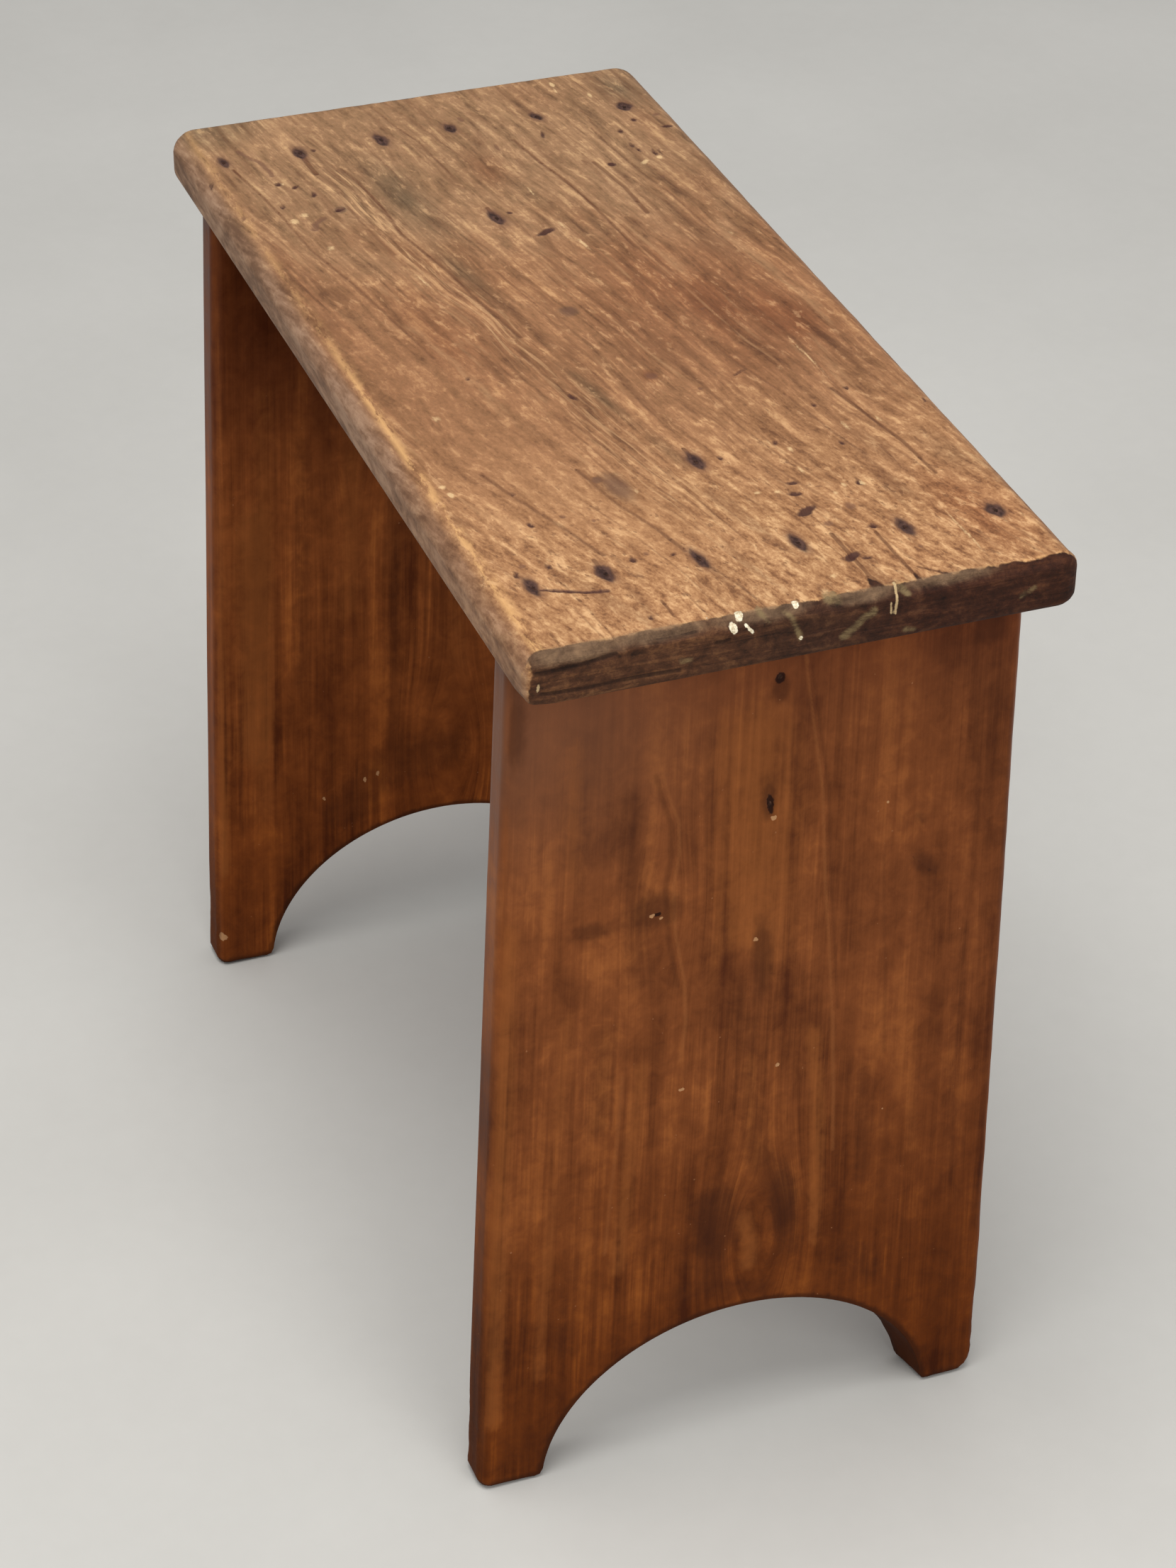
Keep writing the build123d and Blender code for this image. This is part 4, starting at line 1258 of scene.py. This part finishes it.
def make_rail(material):
    """The rail on edge, its lower edges eased, its ends against the end boards."""
    corners = [
        (RAIL_FRONT, RAIL_BOTTOM), (RAIL_BACK, RAIL_BOTTOM),
        (RAIL_BACK, UNDERSIDE), (RAIL_FRONT, UNDERSIDE),
    ]
    loop = []
    for a, b in zip(corners, corners[1:] + corners[:1]):
        loop += steps_between(a, b, max(1, round(math.dist(a, b) / OUTLINE_STEP)))
    loop = np.array(loop)
    for corner, inward in ((0, 1), (1, -1)):
        at_corner = (np.abs(loop - corners[corner]) < 0.01).all(1)
        loop[at_corner] += (inward * 0.8, 0.8)
    ease = np.full(len(loop), 0.3)
    rows = sawn_rows(BOARD_INNER * 2, loop, loop, ease, roll=1, flat=98)
    low, high = (RAIL_FRONT + 2, RAIL_BOTTOM + 2), (RAIL_BACK - 2, UNDERSIDE - 2)
    inner = spread_points(low, high, even_gap(5.0), (5.0,), seed=7)
    plane, depth, faces = closed_board(BOARD_INNER * 2, rows, inner, inner)
    points = np.column_stack([BOARD_INNER - depth, plane])
    normal = normals_of(points, faces)
    # No wear where the rail meets the seat and the end boards
    free = rise(UNDERSIDE - points[:, 2], 0, 4) * rise(BOARD_INNER - np.abs(points[:, 0]), 0, 4)
    worn = 0.16 * (1 + layered_noise(points, (40, 14, 14), 71))
    worn = worn + 0.12 * (1 + lattice_noise(points, (3, 9, 9), 72))
    points = points - normal * (worn * free)[:, None]
    return make_piece("rail", points, faces, {}, material, "centre_rail")


# The nails


def nail_mesh(place, level, seed):
    """A cut nail: a hammered head with uneven edges over a shank that narrows to its point.

    It stands point down at level 0. At 1 or -1 it lies along X with its head that way."""
    rng = np.random.default_rng(seed)
    angles = np.arange(NAIL_SIDES) * 2 * math.pi / NAIL_SIDES
    uneven = 1 - rng.uniform(0, 0.09, NAIL_SIDES)
    circle = np.column_stack([np.cos(angles), np.sin(angles)])
    square = circle * (1 / np.abs(circle).max(1))[:, None]
    lens = np.sign(circle) * np.abs(circle) ** (1.15, 1.5)
    head = (lens * 0.75 + square * 0.25) * uneven[:, None]
    rings = [(head * share * HALF_HEAD, -drop) for share, drop in HEAD_RINGS]
    for step in range(SHANK_STEPS + 1):
        share = step / SHANK_STEPS
        half_width = (SHANK_WIDTHS[0] + (SHANK_WIDTHS[1] - SHANK_WIDTHS[0]) * share) / 2
        height = -HEAD_HEIGHT - (NAIL_LENGTH - HEAD_HEIGHT) * share
        rings.append((square * (half_width, HALF_SHANK), height))
    points = [np.column_stack([ring, np.full(NAIL_SIDES, height)]) for ring, height in rings]
    points = np.concatenate(points + [[[0, 0, 0.0]], [[0, 0, -NAIL_LENGTH]]])
    points[: NAIL_SIDES * 2, 2] -= rng.uniform(0, 0.16, NAIL_SIDES * 2)
    last = (len(rings) - 1) * NAIL_SIDES
    faces = ring_faces(NAIL_SIDES, len(rings))
    for i in range(NAIL_SIDES):
        j = (i + 1) % NAIL_SIDES
        faces.append((len(points) - 2, i, j))
        faces.append((len(points) - 1, last + j, last + i))
    if level:
        points = np.column_stack([points[:, 2] * level, points[:, 1], points[:, 0]])
    if level > 0:
        faces = [face[::-1] for face in faces]
    return points + place, faces


def make_nails(name, places, level, material, node, seed):
    """One piece of all the nails that stand at places."""
    points, faces, total = [], [], 0
    for i, place in enumerate(places):
        made, around = nail_mesh(np.array(place, float), level, seed + i)
        faces += [tuple(v + total for v in face) for face in around]
        points.append(made)
        total += len(made)
    return make_piece(name, np.concatenate(points), faces, {}, material, node)


# Floor, light and camera

# The photograph's camera: its azimuth, height and roll in degrees, its place in millimetres,
# and its focal length in pixels of a frame so many pixels high
CAMERA_ANGLES, CAMERA_PLACE = (69.55, 33.66, 0.35), (1476.34, -541.92, 1258.56)
FOCAL_PIXELS, FRAME_PIXELS, SENSOR_HEIGHT = 5748.82, 2212, 36.0


def make_floor(half=40.0, count=40):
    """A plain pale floor of count by count squares, wide enough for every view, in metres."""
    f = Finish("pale_floor", 0.8, 0.2)
    mist = f.noise(f.place, (260, 260, 260), 3, 0.5)
    fine = f.noise(f.place, (14, 14, 14), 3, 0.6)
    value = f.add((mist, 0.8), (fine, 0.2))
    f.bump(fine, 0.05)
    f.paint(f.ramp(value, (0.3, 190, 188, 182), (0.7, 198, 196, 190)))
    steps, wide = np.linspace(-half, half, count + 1), count + 1
    points = [(x, y, 0.0) for y, x in product(steps, steps)]
    starts = [row * wide + column for row, column in product(range(count), range(count))]
    faces = [(i, i + 1, i + wide + 1, i + wide) for i in starts]
    mesh = bpy.data.meshes.new("floor")
    mesh.from_pydata(points, [], faces)
    mesh.materials.append(f.material)
    floor = bpy.data.objects.new("floor", mesh)
    bpy.context.scene.collection.objects.link(floor)


def make_lamp(name, place, aim, size, power):
    lamp = bpy.data.lights.new(name, "AREA")
    lamp.shape = "DISK"
    lamp.size = size
    lamp.energy = power
    made = bpy.data.objects.new(name, lamp)
    made.location = place
    made.rotation_euler = (Vector(aim) - Vector(place)).to_track_quat("-Z", "Y").to_euler()
    bpy.context.scene.collection.objects.link(made)


def make_light():
    """Soft daylight from above, a little from the left of the camera, over an even sky."""
    world = bpy.data.worlds.new("studio")
    bpy.context.scene.world = world
    world.use_nodes = True
    sky = world.node_tree.nodes["Background"]
    sky.inputs["Color"].default_value = tone(250, 250, 252)
    sky.inputs["Strength"].default_value = 0.55
    make_lamp("key", (0.5, -0.5, 2.9), (0, 0, 0.3), 2.0, 62)
    make_lamp("fill", (2.7, 0.5, 1.5), (0, 0, 0.25), 1.8, 26)


def make_camera():
    """The photograph's viewpoint, as it was solved from the bench's own edges."""
    azimuth, height, roll = [math.radians(degrees) for degrees in CAMERA_ANGLES]
    level = math.cos(height)
    back = Vector((math.sin(azimuth) * level, -math.cos(azimuth) * level, math.sin(height)))
    right = Vector((0, 0, 1)).cross(back).normalized()
    up = back.cross(right)
    tilted_right = right * math.cos(roll) + up * math.sin(roll)
    tilted_up = up * math.cos(roll) - right * math.sin(roll)
    turn = Matrix((tilted_right, tilted_up, back)).transposed()
    camera = bpy.data.cameras.new("camera")
    camera.sensor_fit = "VERTICAL"
    camera.sensor_height = SENSOR_HEIGHT
    camera.lens = FOCAL_PIXELS / FRAME_PIXELS * SENSOR_HEIGHT
    camera.clip_start, camera.clip_end = 0.05, 50.0
    made = bpy.data.objects.new("camera", camera)
    made.matrix_world = Matrix.Translation(Vector(CAMERA_PLACE) * MM) @ turn.to_4x4()
    bpy.context.scene.collection.objects.link(made)
    bpy.context.scene.camera = made


bpy.context.scene.view_settings.view_transform = "Standard"
make_seat(worn_pine())
# Each board's second value is the colour of the painted shade under the seat, and the third is the
# height where it starts
near_stain = stained_board("near_stain", (104, 57, 34), 330, 0.9, (1, 1, 1))
far_stain = stained_board("far_stain", (54, 16, 9), 260, 0.6, (1.24, 1.16, 0.99))
make_end_board(
    "near_board", BOARD_OUTER, NEAR_HEEL, NEAR_MARKS, near_stain, "right_end_board", 31
)
make_end_board("far_board", -BOARD_INNER, FAR_HEEL, FAR_MARKS, far_stain, "left_end_board", 51)
make_rail(rail_wood())
iron = nail_iron()
top, outer = SEAT_TOP - NAIL_SINK, BOARD_OUTER - NAIL_SINK
for name, node, row, seed in (
    ("near_seat_nails", "right_seat_nails", RIGHT_ROW, 101),
    ("far_seat_nails", "left_seat_nails", LEFT_ROW, 111),
    ("rail_seat_nails_head_up", "rail_seat_nails", RAIL_ROW, 121),
):
    make_nails(name, [(x, y, top) for x, y in row], 0, iron, node, seed)
for name, node, side, seed in (
    ("near_rail_nails", "right_rail_nails", 1, 131),
    ("far_rail_nails", "left_rail_nails", -1, 141),
):
    make_nails(name, [(side * outer, y, z) for y, z in RAIL_ENDS], side, iron, node, seed)
make_floor()
make_light()
make_camera()
